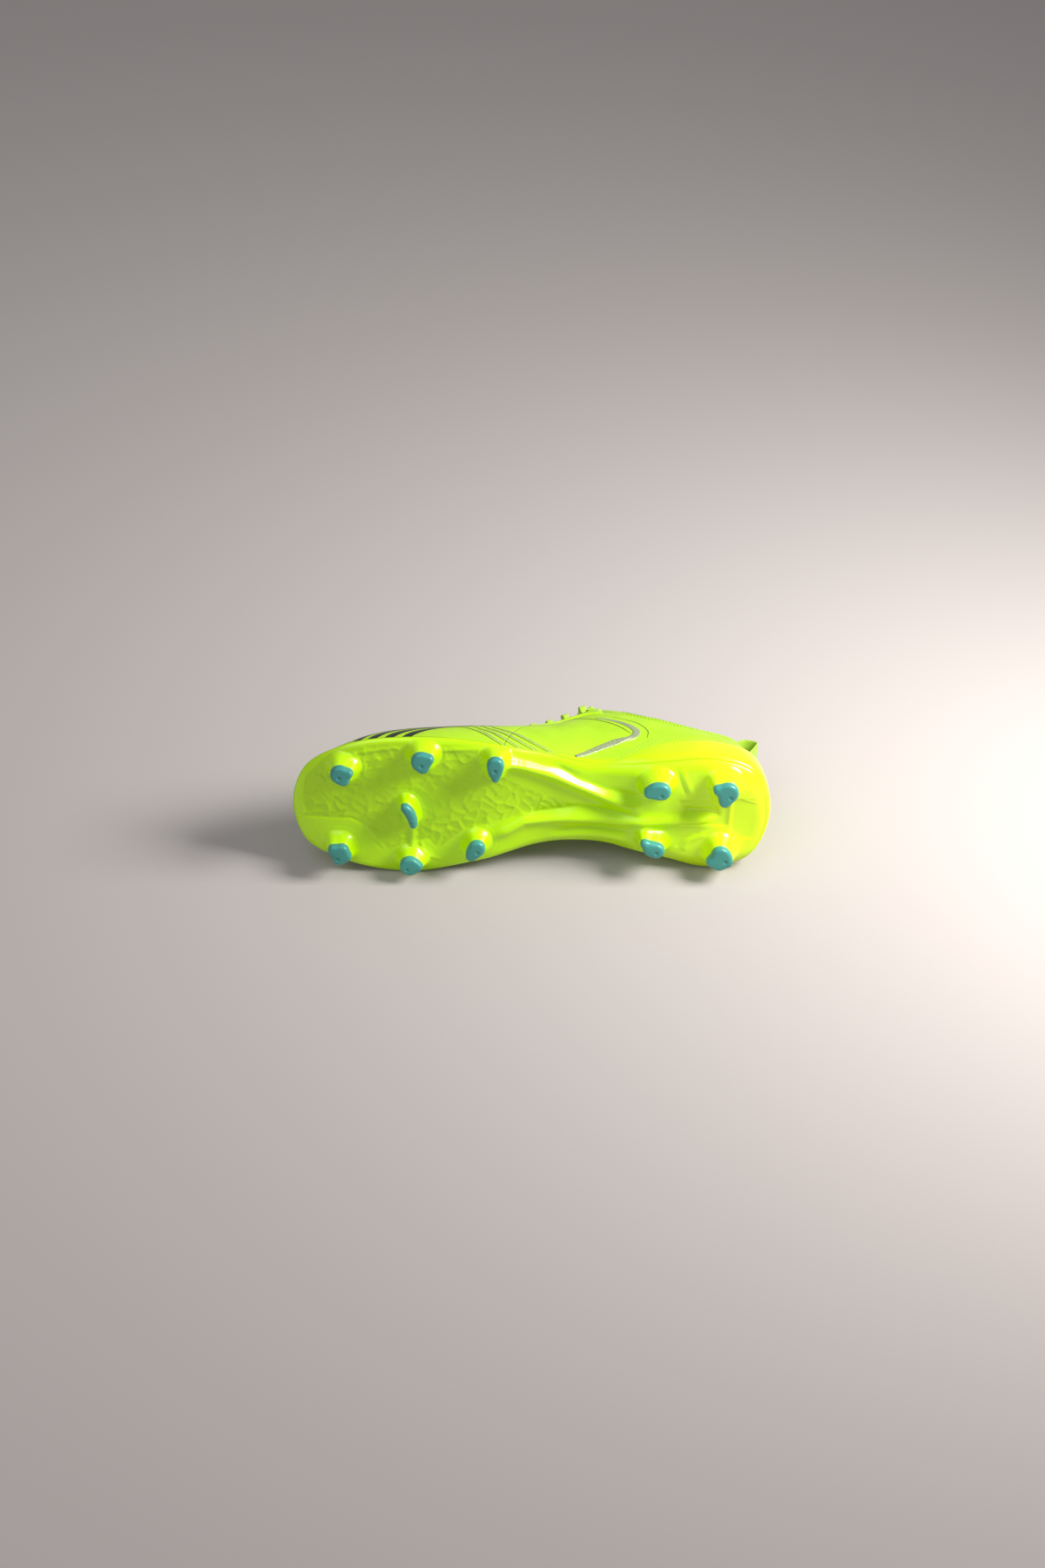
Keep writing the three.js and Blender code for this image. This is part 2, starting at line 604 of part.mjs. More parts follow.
function tonguePoint(along, across, depth) {
  const fold = Math.min(along, 0.13);
  const flap = Math.max(0, (along - 0.13) / (TONGUE_TOP - 0.13));
  const sink = TONGUE_SINK + 7 * (1 - smooth(-0.12, 0, along));
  const top = throatLine(fold) - sink + TONGUE_TOP_RISE * flap;
  const half = TONGUE_HALF * (0.8 + 0.2 * smooth(TONGUE_FRONT, -0.05, along) - 0.28 * smooth(0.02, 0.12, along));
  const droop = TONGUE_CROWN * across * across * (1 - 0.75 * smooth(0.04, 0.13, along));
  return new THREE.Vector3(across * half, along * LENGTH - depth * 0.35, top - droop - depth);
}

function tonguePart(from, to, columns) {
  const grid = (depth) => Array.from({ length: columns + 1 }, (_, i) => {
    const along = from + (to - from) * i / columns;
    return [-1, -0.75, -0.4, 0, 0.4, 0.75, 1].map((across) => tonguePoint(along, -across, depth));
  });
  return slab(grid(0), grid(TONGUE));
}

// ---- Lace ----
const LACE_SINK = SHELL + GAP + LINING + GAP + LACE / 2 + 0.4;
const LACE_PROUD = OVERLAY + GAP + LACE / 2 + 0.5;

// From the top of one eyelet over the tongue and under the other side, up to its next eyelet.
function lacePass(side, index, lift) {
  const [start, end] = [eyeletStation(side, index), eyeletStation(-side, index + 1)];
  const a = upperPoint(start, EYELET_RISE, -LACE_PROUD);
  const b = upperPoint(end, 1, LACE_SINK);
  const edge = upperPoint(start, 1.0, -LACE_PROUD);
  const middle = edge.clone().lerp(upperPoint(end, 1, -LACE_PROUD), 0.5);
  middle.z += lift;
  return [a, edge, middle, b, ...upThrough(end)];
}

// Lace points from below an eyelet to the hole's middle.
function upThrough(s) {
  return [LACE_SINK, SHELL + LINING, SHELL / 2].map((depth) => upperPoint(s, EYELET_RISE, depth));
}

function laceRun(side, lift) {
  const points = [];
  for (let i = 0; i < EYELETS_PER_SIDE - 1; i += 1) {
    const turn = i % 2 === 0 ? side : -side;
    points.push(...lacePass(turn, i, lift));
  }
  const endSide = (EYELETS_PER_SIDE - 1) % 2 === 0 ? side : -side;
  const last = eyeletStation(endSide, EYELETS_PER_SIDE - 1);
  points.push(upperPoint(last, EYELET_RISE, -LACE_PROUD));
  points.push(upperPoint(last, 1, -LACE_PROUD));
  return points;
}

function lacePath() {
  const outer = laceRun(1, 2.4);
  const inner = laceRun(-1, -1.2);
  const [first, second] = [-1, 1].map((side) => {
    const s = eyeletStation(side, 0);
    return [upperPoint(s, 0.99, LACE_SINK), ...upThrough(s)];
  });
  const knot = knotPlace();
  return [knot, ...inner.reverse(), ...first.reverse(), ...second, ...outer, knot];
}

function knotPlace() {
  const last = EYELETS_PER_SIDE - 1;
  const [a, b] = [1, -1].map((side) => upperPoint(eyeletStation(side, last), 1, -LACE_PROUD));
  return a.lerp(b, 0.5).add(new THREE.Vector3(0, 0, 3.5));
}

const KNOT = [6.5, 4.5, 3.6]; // half sizes

function lace() {
  const strand = toSolid(tube(lacePath(), LACE / 2, 7, 110));
  const knot = new THREE.SphereGeometry(1, 10, 8);
  const place = knotPlace();
  knot.scale(...KNOT).translate(place.x, place.y, place.z);
  return fromSolid(strand.add(toSolid(knot)));
}

// ---- Pull tab at the heel: one loop of webbing from inside the collar to the heel panel ----
const TAB_RISE = 14; // top of the loop above the collar
const TAB_STATIONS = 0.28; // half the tab's width in stations, outside the heel
const TAB_STATIONS_INSIDE = 0.5; // and inside the collar

function pullTab() {
  const inside = liningDepth(HEEL, 0.9) + LINING + 2 * GAP + TAB_THICKNESS / 2;
  const outside = -(GAP + TAB_THICKNESS / 2);
  const strand = (share) => {
    const s = HEEL - share * TAB_STATIONS;
    const inner = HEEL - share * TAB_STATIONS_INSIDE;
    const path = [
      upperPoint(s, 0.76, outside),
      upperPoint(s, 0.88, outside - 2.2),
      upperPoint(HEEL, 1, -4.5).add(new THREE.Vector3(0, 0, TAB_RISE * 0.6)),
      upperPoint(HEEL, 1, 2).add(new THREE.Vector3(0, 0, TAB_RISE)),
      upperPoint(HEEL, 1, inside + 1).add(new THREE.Vector3(0, 0, TAB_RISE * 0.6)),
      upperPoint(inner, 0.96, inside + 1),
      upperPoint(inner, 0.84, inside + 0.5),
    ];
    return new THREE.CatmullRomCurve3(path, false, 'centripetal');
  };
  const shares = [-1, -0.5, 0, 0.5, 1];
  const steps = 18;
  const grid = (half) => Array.from({ length: steps + 1 }, (_, i) => shares.map((share) => {
    const curve = strand(share);
    const tangent = curve.getTangent(i / steps);
    const normal = new THREE.Vector3(0, -tangent.z, tangent.y).normalize();
    const point = curve.getPoint(i / steps).addScaledVector(normal, half);
    return point.setX(loopValue(HEEL, 2) + share * TAB_WIDTH / 2);
  }));
  return slab(grid(-TAB_THICKNESS / 2), grid(TAB_THICKNESS / 2));
}

// ---- Finishes ----
const FINISH = {
  plate: { color: '#c8fb1e', roughness: 0.18, metalness: 0 },
  tip: { color: '#4f9f9c', roughness: 0.35, metalness: 0 },
  upper: { color: '#c4ec3e', roughness: 0.5, metalness: 0 },
  overlay: { color: '#b4dd35', roughness: 0.4, metalness: 0 },
  band: { color: '#b3bd9a', roughness: 0.35, metalness: 0.3 },
  lining: { color: '#b9dc45', roughness: 0.9, metalness: 0 },
  foam: { color: '#e6e2c8', roughness: 0.95, metalness: 0 },
  stiffener: { color: '#d8d3c2', roughness: 0.7, metalness: 0 },
  board: { color: '#e2ddcc', roughness: 0.9, metalness: 0 },
  sockliner: { color: '#2b2d2c', roughness: 0.9, metalness: 0 },
  lace: { color: '#b9df38', roughness: 0.85, metalness: 0 },
};

const boot = new THREE.Group();

function addPart(name, geometry, finish) {
  const mesh = new THREE.Mesh(geometry, new THREE.MeshStandardMaterial(FINISH[finish]));
  mesh.name = name;
  boot.add(mesh);
}

addPart('outsole_plate', outsolePlate(), 'plate');
for (const stud of STUDS) addPart(`stud_tip_${stud.name}`, studTip(stud), 'tip');
addPart('vamp', vamp(), 'upper');
for (const [name, side] of Object.entries(SIDES)) {
  addPart(`quarter_${name}`, quarter(side), 'upper');
  addPart(`eyestay_${name}`, eyestay(side), 'overlay');
  addPart(`side_band_${name}`, sideBand(side), 'band');
}
addPart('heel_panel', heelPanel(), 'upper');
addPart('toe_puff', toePuff(), 'stiffener');
addPart('heel_counter', heelCounter(), 'stiffener');
addPart('collar_foam', collarFoam(), 'foam');
addPart('collar_binding', collarBinding(), 'overlay');
addPart('lining', lining(), 'lining');
addPart('insole_board', bedSlab(0, BOARD, 0), 'board');
addPart('sockliner', bedSlab(BOARD + GAP, SOCKLINER, 2.5), 'sockliner');
addPart('tongue', tonguePart(TONGUE_FRONT, TONGUE_FOLD, 14), 'upper');
addPart('tongue_flap', tonguePart(TONGUE_FOLD + TONGUE_SLOT, TONGUE_TOP, 3), 'upper');
addPart('lace', lace(), 'lace');
addPart('pull_tab', pullTab(), 'overlay');

// The origin of the frame is the middle of the boot's footprint.
const footprint = new THREE.Box3().setFromObject(boot).getCenter(new THREE.Vector3());
boot.position.set(-footprint.x, -footprint.y, 0);

export default boot;
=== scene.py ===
"""Visual model of a left soccer boot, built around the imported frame.

Shapes are worked out in millimetres on the boot's last and written in metres. +Z is up, the toe points to -Y
and the outer side faces +X. Stations run round the last: 0 at the toe, 10 at the heel, 10 to 20 along the
inner side.
Rises run up the upper, from the sole (0) to the top line (1).
"""

from __future__ import annotations

import json
import logging
import math
from functools import cached_property
from dataclasses import dataclass, field
from enum import Enum
from typing import Callable, Sequence

import bmesh
import bpy
import numpy as np
from mathutils.kdtree import KDTree
from mathutils import Matrix, Vector


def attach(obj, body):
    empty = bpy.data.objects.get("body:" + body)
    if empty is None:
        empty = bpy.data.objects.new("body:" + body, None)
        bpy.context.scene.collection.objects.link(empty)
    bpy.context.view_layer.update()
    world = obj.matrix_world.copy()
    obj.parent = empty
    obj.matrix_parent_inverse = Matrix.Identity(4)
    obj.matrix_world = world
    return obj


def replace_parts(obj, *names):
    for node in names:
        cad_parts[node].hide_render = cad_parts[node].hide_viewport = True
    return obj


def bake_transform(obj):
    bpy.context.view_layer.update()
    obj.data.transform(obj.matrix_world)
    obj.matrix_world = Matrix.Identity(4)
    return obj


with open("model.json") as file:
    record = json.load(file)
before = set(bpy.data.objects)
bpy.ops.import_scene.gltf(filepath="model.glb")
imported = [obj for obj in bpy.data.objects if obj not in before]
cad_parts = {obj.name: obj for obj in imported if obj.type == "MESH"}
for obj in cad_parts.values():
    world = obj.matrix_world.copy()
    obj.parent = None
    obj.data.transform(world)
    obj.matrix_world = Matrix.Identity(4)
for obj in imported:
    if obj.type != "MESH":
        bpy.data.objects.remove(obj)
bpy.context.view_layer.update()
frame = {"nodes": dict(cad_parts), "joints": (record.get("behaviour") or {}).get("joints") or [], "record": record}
LOG = logging.getLogger("boot")
MM = 0.001
Array = np.ndarray


# ---------------------------------------------------------------- small helpers


def smooth(low: float, high: float, value: Array | float) -> Array:
    """Smooth step from 0 at low to 1 at high."""
    t = np.clip((np.asarray(value, float) - low) / (high - low), 0, 1)
    return t * t * (3 - 2 * t)


def mix(a: Array | float, b: Array | float, share: Array | float) -> Array | float:
    """Straight blend from a to b."""
    return a + (b - a) * share


def smooth_path(points: Sequence[Sequence[float]], per_leg: int = 10) -> Array:
    """Catmull-Rom curve through a few points.

    Args:
        points: control points, of any dimension.
        per_leg: samples between two control points.

    Returns:
        The samples, both ends included.
    """
    p = np.asarray(points, float)
    p = np.vstack([2 * p[0] - p[1], p, 2 * p[-1] - p[-2]])
    t = np.arange(per_leg)[:, None] / per_leg
    legs = [
        0.5 * (2 * b + (c - a) * t + (2 * a - 5 * b + 4 * c - d) * t**2 + (3 * b - 3 * c + d - a) * t**3)
        for a, b, c, d in zip(p[:-3], p[1:-2], p[2:-1], p[3:])
    ]
    return np.vstack([*legs, p[-2:-1]])


def even_path(points: Array, pitch: float) -> Array:
    """Resamples a polyline at an even pitch, both ends kept."""
    run = np.concatenate([[0], np.cumsum(np.linalg.norm(np.diff(points, axis=0), axis=1))])
    count = max(2, int(round(run[-1] / pitch)) + 1)
    at = np.linspace(0, run[-1], count)
    return np.stack([np.interp(at, run, points[:, i]) for i in range(points.shape[1])], 1)


def unit(v: Array) -> Array:
    """Vectors at length one."""
    return v / np.maximum(np.linalg.norm(v, axis=-1, keepdims=True), 1e-9)


def linear(colour: str, alpha: float = 1.0) -> tuple[float, float, float, float]:
    """Turns an sRGB hex colour into linear RGBA."""
    parts = [int(colour[i : i + 2], 16) / 255 for i in (1, 3, 5)]
    r, g, b = (c / 12.92 if c <= 0.04045 else ((c + 0.055) / 1.055) ** 2.4 for c in parts)
    return r, g, b, alpha


# ---------------------------------------------------------------- the last


@dataclass(frozen=True)
class Station:
    """One cross-section of the last; see Last for the columns."""

    along: float
    width: float
    outer: float
    inner: float
    top: tuple[float, float, float]
    opening: float
    rise: tuple[float, float]
    drop: tuple[float, float, float]


@dataclass(frozen=True)
class Last:
    """The foot form that every layer follows, with the sizes of the boot in millimetres."""

    length: float = 287
    stud_height: float = 12
    heel_lift: float = 2
    arch_lift: float = 5
    toe_spring: float = 6
    toe_shift: float = -9
    heel_shift: float = -2.5
    ball: float = 94
    waist: float = 57
    heel: float = 78
    throat: float = 28
    collar: float = 56
    throat_front: float = 66
    throat_top: float = 97
    ankle: float = 68
    heel_height: float = 82
    plate_wall: float = 2.2
    wall_clearance: float = 0.6
    plate_floor: float = 2.4
    gap: float = 0.3
    shell: float = 1.3
    overlay: float = 0.9
    lining: float = 1.0
    stiffener: float = 1.4
    foam: float = 4.2
    rows: Array = field(init=False, repr=False)

    def __post_init__(self) -> None:
        """Works the stations out into a closed loop of rows."""
        rows = np.array([self._row(i) for i in range(20)])
        object.__setattr__(self, "rows", rows)

    def stations(self) -> list[Station]:
        """The eleven stations from toe to heel."""
        b, w, h, t, c = self.ball, self.waist, self.heel, self.throat, self.collar
        z = lambda share: mix(self.throat_front, self.throat_top, share)  # noqa: E731
        return [
            Station(-0.5, b, 0, 0, (0, -0.1, z(0)), t, (0, 21), (0, -46, -4)),
            Station(-0.472, b, 0.42, 0.68, (0.33, -0.098, z(0.01)), t, (1, 21), (8, -38, -4)),
            Station(-0.389, b, 0.78, 0.93, (0.62, -0.09, z(0.04)), t, (3.5, 21), (15, -16, -5)),
            Station(-0.253, b, 0.93, 1.06, (0.86, -0.068, z(0.13)), t, (2.5, 19), (18, -6, -8)),
            Station(-0.112, b, 0.9, 0.87, (1, -0.02, z(0.34)), t, (1, 20), (18, -2, -12)),
            Station(0.014, w, 1.23, 1.06, (1.06, 0.05, z(0.66)), t, (1, 22), (18, 0, -18)),
            Station(0.14, w, 1.035, 1.01, (1.55, 0.135, z(1)), t, (4, 22), (13, 0, -30)),
            Station(0.274, h, 0.86, 0.92, (1, 0.25, self.ankle + 10), c, (3, 18), (4, 0, -18)),
            Station(0.379, h, 0.93, 1.08, (0.95, 0.345, self.ankle), c, (1, 18), (5, 2, -15)),
            Station(0.463, h, 0.7, 0.86, (0.62, 0.425, self.ankle + 6), c, (1, 20), (5, 4, -18)),
            Station(0.5, h, 0, 0, (0, 0.452, self.heel_height), c, (1, 22), (0, 8, -22)),
        ]

    def _row(self, index: int) -> list[float]:
        """Columns of one row: edge x, y; top x, y, z; rise out, up; drop x, y, z."""
        outer = index <= 10
        st = self.stations()[index if outer else 20 - index]
        sign = 1 if outer else -1
        x = sign * (st.outer if outer else st.inner) * st.width / 2
        x = {0: self.toe_shift, 10: self.heel_shift}.get(index, x)
        tx, ty, tz = st.top
        dx, dy, dz = st.drop
        top = [sign * tx * st.opening / 2, ty * self.length, tz]
        return [x, st.along * self.length, *top, *st.rise, sign * dx, dy, dz]

    def value(self, s: Array | float) -> Array:
        """All columns at station s, by a spline whose legs are as long as the sole's edge."""
        r = self.rows
        leg = np.hypot(*(np.roll(r, -1, 0) - r)[:, :2].T)[:, None]
        back = np.roll(leg, 1, 0)
        slope = ((np.roll(r, -1, 0) - r) / leg * back + (r - np.roll(r, 1, 0)) / back * leg) / (leg + back)
        s = np.asarray(s, float) % 20
        i = np.floor(s).astype(int) % 20
        j = (i + 1) % 20
        t = (s - np.floor(s))[..., None]
        t2, t3 = t * t, t**3
        curve = leg[i] * (slope[i] * (t3 - 2 * t2 + t) + slope[j] * (t3 - t2))
        return r[i] * (2 * t3 - 3 * t2 + 1) + r[j] * (3 * t2 - 2 * t3) + curve

    def bottom(self, y: Array) -> Array:
        """Height of the plate's plain underside at y."""
        a = np.asarray(y, float) / self.length
        toe = np.maximum(0, (-0.35 - a) / 0.15)
        arch = smooth(-0.1, 0.06, a) * (1 - smooth(0.12, 0.25, a))
        lift = self.toe_spring * toe**2 + self.arch_lift * arch + self.heel_lift * smooth(0.08, 0.25, a)
        return self.stud_height + lift

    def edge(self, s: Array, inset: Array | float) -> tuple[Array, Array, Array, Array]:
        """Point of the sole's widest line moved inward by inset, and the outward direction there."""
        v, ahead, behind = self.value(s), self.value(np.asarray(s) + 0.02), self.value(np.asarray(s) - 0.02)
        dx, dy = ahead[..., 0] - behind[..., 0], ahead[..., 1] - behind[..., 1]
        size = np.hypot(dx, dy)
        nx, ny = dy / size, -dx / size
        return v[..., 0] - inset * nx, v[..., 1] - inset * ny, nx, ny

    def face(self, s: Array, k: Array) -> Array:
        """Outer face of the upper at station s and rise k."""
        s, k = np.broadcast_arrays(np.asarray(s, float), np.asarray(k, float))
        x, y, nx, ny = self.edge(s, self.plate_wall + self.wall_clearance)
        v = self.value(s)
        foot = np.stack([x, y, self.bottom(y) + self.plate_floor + self.gap], -1)
        top = v[..., 2:5]
        leave = foot + np.stack([nx * v[..., 5], ny * v[..., 5], v[..., 6]], -1)
        arrive = top + v[..., 7:10]
        k = k[..., None]
        q = 1 - k
        return q**3 * foot + 3 * q * q * k * leave + 3 * q * k * k * arrive + k**3 * top

    def normal(self, s: Array, k: Array) -> Array:
        """Outward direction of the upper; level at the sole, where the layers leave it side by side."""
        e = 0.01
        along = self.face(s + e, k) - self.face(s - e, k)
        up = self.face(s, np.minimum(1, k + e)) - self.face(s, np.maximum(0, k - e))
        n = unit(np.cross(along, up))
        n[..., 2] *= smooth(0, 0.15, k)
        return unit(n)

    def point(self, s: Array | float, k: Array | float, depth: Array | float = 0.0) -> Array:
        """Point at a depth below the upper's face; a negative depth stands proud of it."""
        s, k = np.broadcast_arrays(np.asarray(s, float), np.asarray(k, float))
        depth = np.broadcast_to(np.asarray(depth, float), s.shape)
        return self.face(s, k) - self.normal(s, k) * depth[..., None]

    def station_at(self, side: int, y: float, column: int = 1) -> float:
        """Station on one side where the edge (column 1) or the top line (column 3) reaches y."""
        low, high = (0.0, 10.0) if column == 1 else (1.0, 7.0)
        for _ in range(30):
            middle = (low + high) / 2
            s = middle if side > 0 or column == 3 else 20 - middle
            if self.value(s)[column] < y:
                low = middle
            else:
                high = middle
        return low if side > 0 else 20 - low

    def rim(self, s: Array) -> Array:
        """How far up the upper the plate's rim reaches."""
        from_heel = np.abs(np.asarray(s, float) - 10)
        toe = 1 - smooth(0, 1.6, 10 - from_heel)
        steps = ((0.026, 6.2, 7), (0.35, 2.5, 4.15), (0.075, 1.2, 2.75))
        return 0.01 + 0.012 * toe + sum(size * (1 - smooth(a, b, from_heel)) for size, a, b in steps)

    def lining_depth(self, s: Array, k: Array) -> Array:
        """Depth of the lining's outer face, which steps round the stiffeners and the collar foam."""
        toe = np.minimum(s % 20, 20 - s % 20)
        heel = 10 - toe
        puff = (1 - smooth(2.4, 3.2, toe)) * (1 - smooth(0.44, 0.58, k))
        counter = (1 - smooth(2.4, 3.2, heel)) * (1 - smooth(0.6, 0.7, k))
        foam = (1 - smooth(3.6, 4.2, heel)) * smooth(0.48, 0.58, k) * (1 - smooth(1.1, 1.2, k))
        stiff = (self.stiffener + self.gap) * np.maximum(puff, counter)
        return self.shell + self.gap + np.maximum(stiff, (self.foam + self.gap) * foam)


LAST = Last()


@dataclass(frozen=True)
class Stud:
    """A stud: its place on the sole, the lobes of its tip (x, y, diameter) and the dimple in its tip."""

    name: str
    side: int
    along: float
    margin: float
    lobes: tuple[tuple[float, float, float], ...]
    dimple: tuple[float, float] | None = None

    def place(self) -> Array:
        """Middle of the stud in plan."""
        y = self.along * LAST.length
        if self.side == 0:
            return np.array([self.margin, y])
        return np.array([LAST.value(LAST.station_at(self.side, y))[0] - self.side * self.margin, y])

    def distance(self, x: Array, y: Array) -> Array:
        """How far points of the plan lie outside the tip's lobes, which run softly together."""
        blend = 1.2
        px, py = self.place()
        pull = [np.exp((d / 2 - np.hypot(x - px - lx, y - py - ly)) / blend) for lx, ly, d in self.lobes]
        return -blend * np.log(np.maximum(sum(pull), 1e-200))

    def outline(self, growth: Array | float, rays: int) -> Array:
        """Outline grown outward, one point on each ray from the stud's middle."""
        angle = 2 * np.pi * np.arange(rays) / rays
        c, s = np.cos(angle), np.sin(angle)
        px, py = self.place()
        inside, outside = np.zeros(rays), np.full(rays, 22.0)
        for _ in range(24):
            middle = (inside + outside) / 2
            near = self.distance(px + middle * c, py + middle * s) < growth
            inside, outside = np.where(near, middle, inside), np.where(near, outside, middle)
        return np.stack([px + inside * c, py + inside * s], 1)


STUDS = (
    Stud(
        "toe_lateral", 1, -0.393, 13.6,
        ((0.6, -0.8, 11), (1.6, 4.8, 4.4), (-3.4, 1.7, 6)), (-0.8, -0.8),
    ),
    Stud(
        "toe_medial", -1, -0.398, 10.8,
        ((0, 0, 8.6), (3, -3.8, 6), (3.2, 1.7, 6.6), (-1.4, 4.2, 5.4), (-3.4, -0.4, 7)), (-2.4, -1.0),
    ),
    Stud(
        "ball_lateral", 1, -0.228, 10.7,
        ((0.3, -0.4, 11.6), (2, 4.6, 4.8), (-4.2, 1, 5.8)), (-1.6, 0.0),
    ),
    Stud(
        "ball_medial", -1, -0.251, 11.3,
        ((0, 0, 12), (-0.3, 5.6, 4)), (-1.6, -1.4),
    ),
    Stud(
        "arch_lateral", 1, -0.077, 10,
        ((2.4, 0, 10), (-2.2, 0, 7.6), (-6.6, 0.2, 4)), (-0.6, -0.2),
    ),
    Stud(
        "arch_medial", -1, -0.114, 15.1,
        ((1.6, 1, 9.6), (-1.5, -1.2, 7.6), (-4.4, -2.8, 5)), (-0.4, 1.4),
    ),
    Stud(
        "centre", 0, -0.251, -3.9,
        ((5.8, -3, 4.7), (3.5, -0.8, 4.7), (0.6, 0.6, 4.7), (-2.7, 1.7, 4.3), (-5.8, 2.2, 3.7)),
    ),
    Stud(
        "heel_front_lateral", 1, 0.257, 14.3,
        ((0.4, 2.8, 10), (0.7, -0.8, 9.4), (-0.6, -4.8, 6.2)), (-1.6, 2.6),
    ),
    Stud(
        "heel_front_medial", -1, 0.254, 13.6,
        ((-0.6, 2.8, 9.4), (0.6, -1.2, 8.2), (4, -4.8, 4.4)), (-1.2, 2.6),
    ),
    Stud(
        "heel_rear_lateral", 1, 0.397, 16.5,
        ((1, 1.4, 12.4), (2.8, -5, 5), (-5, 0, 7)), (-1.4, 3.0),
    ),
    Stud(
        "heel_rear_medial", -1, 0.396, 15.7,
        ((0.6, 1.4, 11.4), (3.4, 0, 8.4), (-2.4, -4.8, 6), (-2.2, 4.8, 5.6), (-4, 0, 7.4)), (-1.0, 3.4),
    ),
)


def frame_shift() -> Array:
    """Offset in mm from the last's own axes to the frame, taken from the mount under one stud."""
    stud = next(s for s in STUDS if s.name == "ball_medial")
    mount = next(m for m in frame["record"]["mounts"] if m["name"] == "ground_ball_medial")
    x, y = stud.place()
    return np.array([mount["pos_m"][0] / MM - x, mount["pos_m"][1] / MM - y, 0.0])


SHIFT = frame_shift()


# ---------------------------------------------------------------- meshes


def make_piece(
    name: str,
    points: Array,
    faces: Sequence[Sequence[int]] | Array,
    material: bpy.types.Material,
    *,
    uv: Array | None = None,
    marks: dict[str, Array] | None = None,
    merge: float = 0.0,
) -> bpy.types.Object:
    """Makes a smooth-shaded mesh object from points on the last.

    Args:
        name: the piece's name.
        points: n x 3 places in mm, on the last's axes.
        faces: corner numbers of each face.
        material: its finish.
        uv: n x 2 surface lengths in mm, written to the UV map.
        marks: point attributes by name.
        merge: distance in mm under which points are joined; 0 leaves them.

    Returns:
        The linked object.
    """
    mesh = bpy.data.meshes.new(name)
    co = (np.asarray(points, float) + SHIFT) * MM
    mesh.from_pydata(
        co.tolist(), [], np.asarray(faces).tolist() if isinstance(faces, np.ndarray) else list(faces)
    )
    if uv is not None:
        layer = mesh.uv_layers.new(name="Surface")
        corner = np.empty(len(mesh.loops), int)
        mesh.loops.foreach_get("vertex_index", corner)
        layer.data.foreach_set("uv", np.asarray(uv, np.float32)[corner].ravel())
    for key, values in (marks or {}).items():
        attribute = mesh.attributes.new(key, "FLOAT", "POINT")
        attribute.data.foreach_set("value", np.asarray(values, np.float32).ravel())
    if merge > 0:
        bm = bmesh.new()
        bm.from_mesh(mesh)
        bmesh.ops.remove_doubles(bm, verts=bm.verts, dist=merge * MM)
        bmesh.ops.dissolve_degenerate(bm, edges=bm.edges, dist=1e-7)
        bm.to_mesh(mesh)
        bm.free()
    mesh.validate()
    mesh.polygons.foreach_set("use_smooth", [True] * len(mesh.polygons))
    mesh.materials.append(material)
    obj = bpy.data.objects.new(name, mesh)
    bpy.context.scene.collection.objects.link(obj)
    return obj


def quads(
    ni: int, nj: int, close_i: bool = False, close_j: bool = False, start: int = 0, flip: bool = False
) -> Array:
    """Quads of a grid of ni x nj points, wound so that i cross j points outward."""
    i, j = np.meshgrid(
        np.arange(ni if close_i else ni - 1), np.arange(nj if close_j else nj - 1), indexing="ij"
    )
    i2, j2 = (i + 1) % ni, (j + 1) % nj
    q = np.stack([i * nj + j, i2 * nj + j, i2 * nj + j2, i * nj + j2], -1).reshape(-1, 4) + start
    return q[:, ::-1] if flip else q


def slab_faces(ni: int, nj: int, close_i: bool = False) -> Array:
    """Faces of a closed slab whose outer grid is followed by its inner grid."""
    n = ni * nj
    parts = [quads(ni, nj, close_i), quads(ni, nj, close_i, start=n, flip=True)]
    i = np.arange(ni if close_i else ni - 1)
    i2 = (i + 1) % ni
    low, high = 0, nj - 1
    parts.append(np.stack([i * nj + low, n + i * nj + low, n + i2 * nj + low, i2 * nj + low], -1))
    parts.append(np.stack([i * nj + high, i2 * nj + high, n + i2 * nj + high, n + i * nj + high], -1))
    if not close_i:
        j = np.arange(nj - 1)
        last = (ni - 1) * nj
        parts.append(np.stack([j, j + 1, n + j + 1, n + j], -1))
        parts.append(np.stack([last + j, n + last + j, n + last + j + 1, last + j + 1], -1))
    return np.vstack(parts)


def slab_piece(
    name: str, outer: Array, inner: Array, material: bpy.types.Material, *, close: bool = False,
    uv: Array | None = None, soften: float = 0.0,
) -> bpy.types.Object:
    """Closed slab between two grids of points.

    Args:
        name: the piece's name.
        outer: ni x nj x 3 outer points.
        inner: the same for the inner side.
        material: its finish.
        close: whether the first direction runs round a loop.
        uv: ni x nj x 2 surface lengths in mm.
        soften: radius in mm of the rounded edges, 0 for none.

    Returns:
        The object.
    """
    ni, nj = outer.shape[:2]
    points = np.vstack([outer.reshape(-1, 3), inner.reshape(-1, 3)])
    both = None if uv is None else np.vstack([uv.reshape(-1, 2)] * 2)
    obj = make_piece(name, points, slab_faces(ni, nj, close), material, uv=both)
    if soften > 0:
        bevel = obj.modifiers.new("edge", "BEVEL")
        bevel.width = soften * MM
        bevel.segments = 2
        bevel.limit_method = "ANGLE"
        bevel.angle_limit = math.radians(50)
    return obj


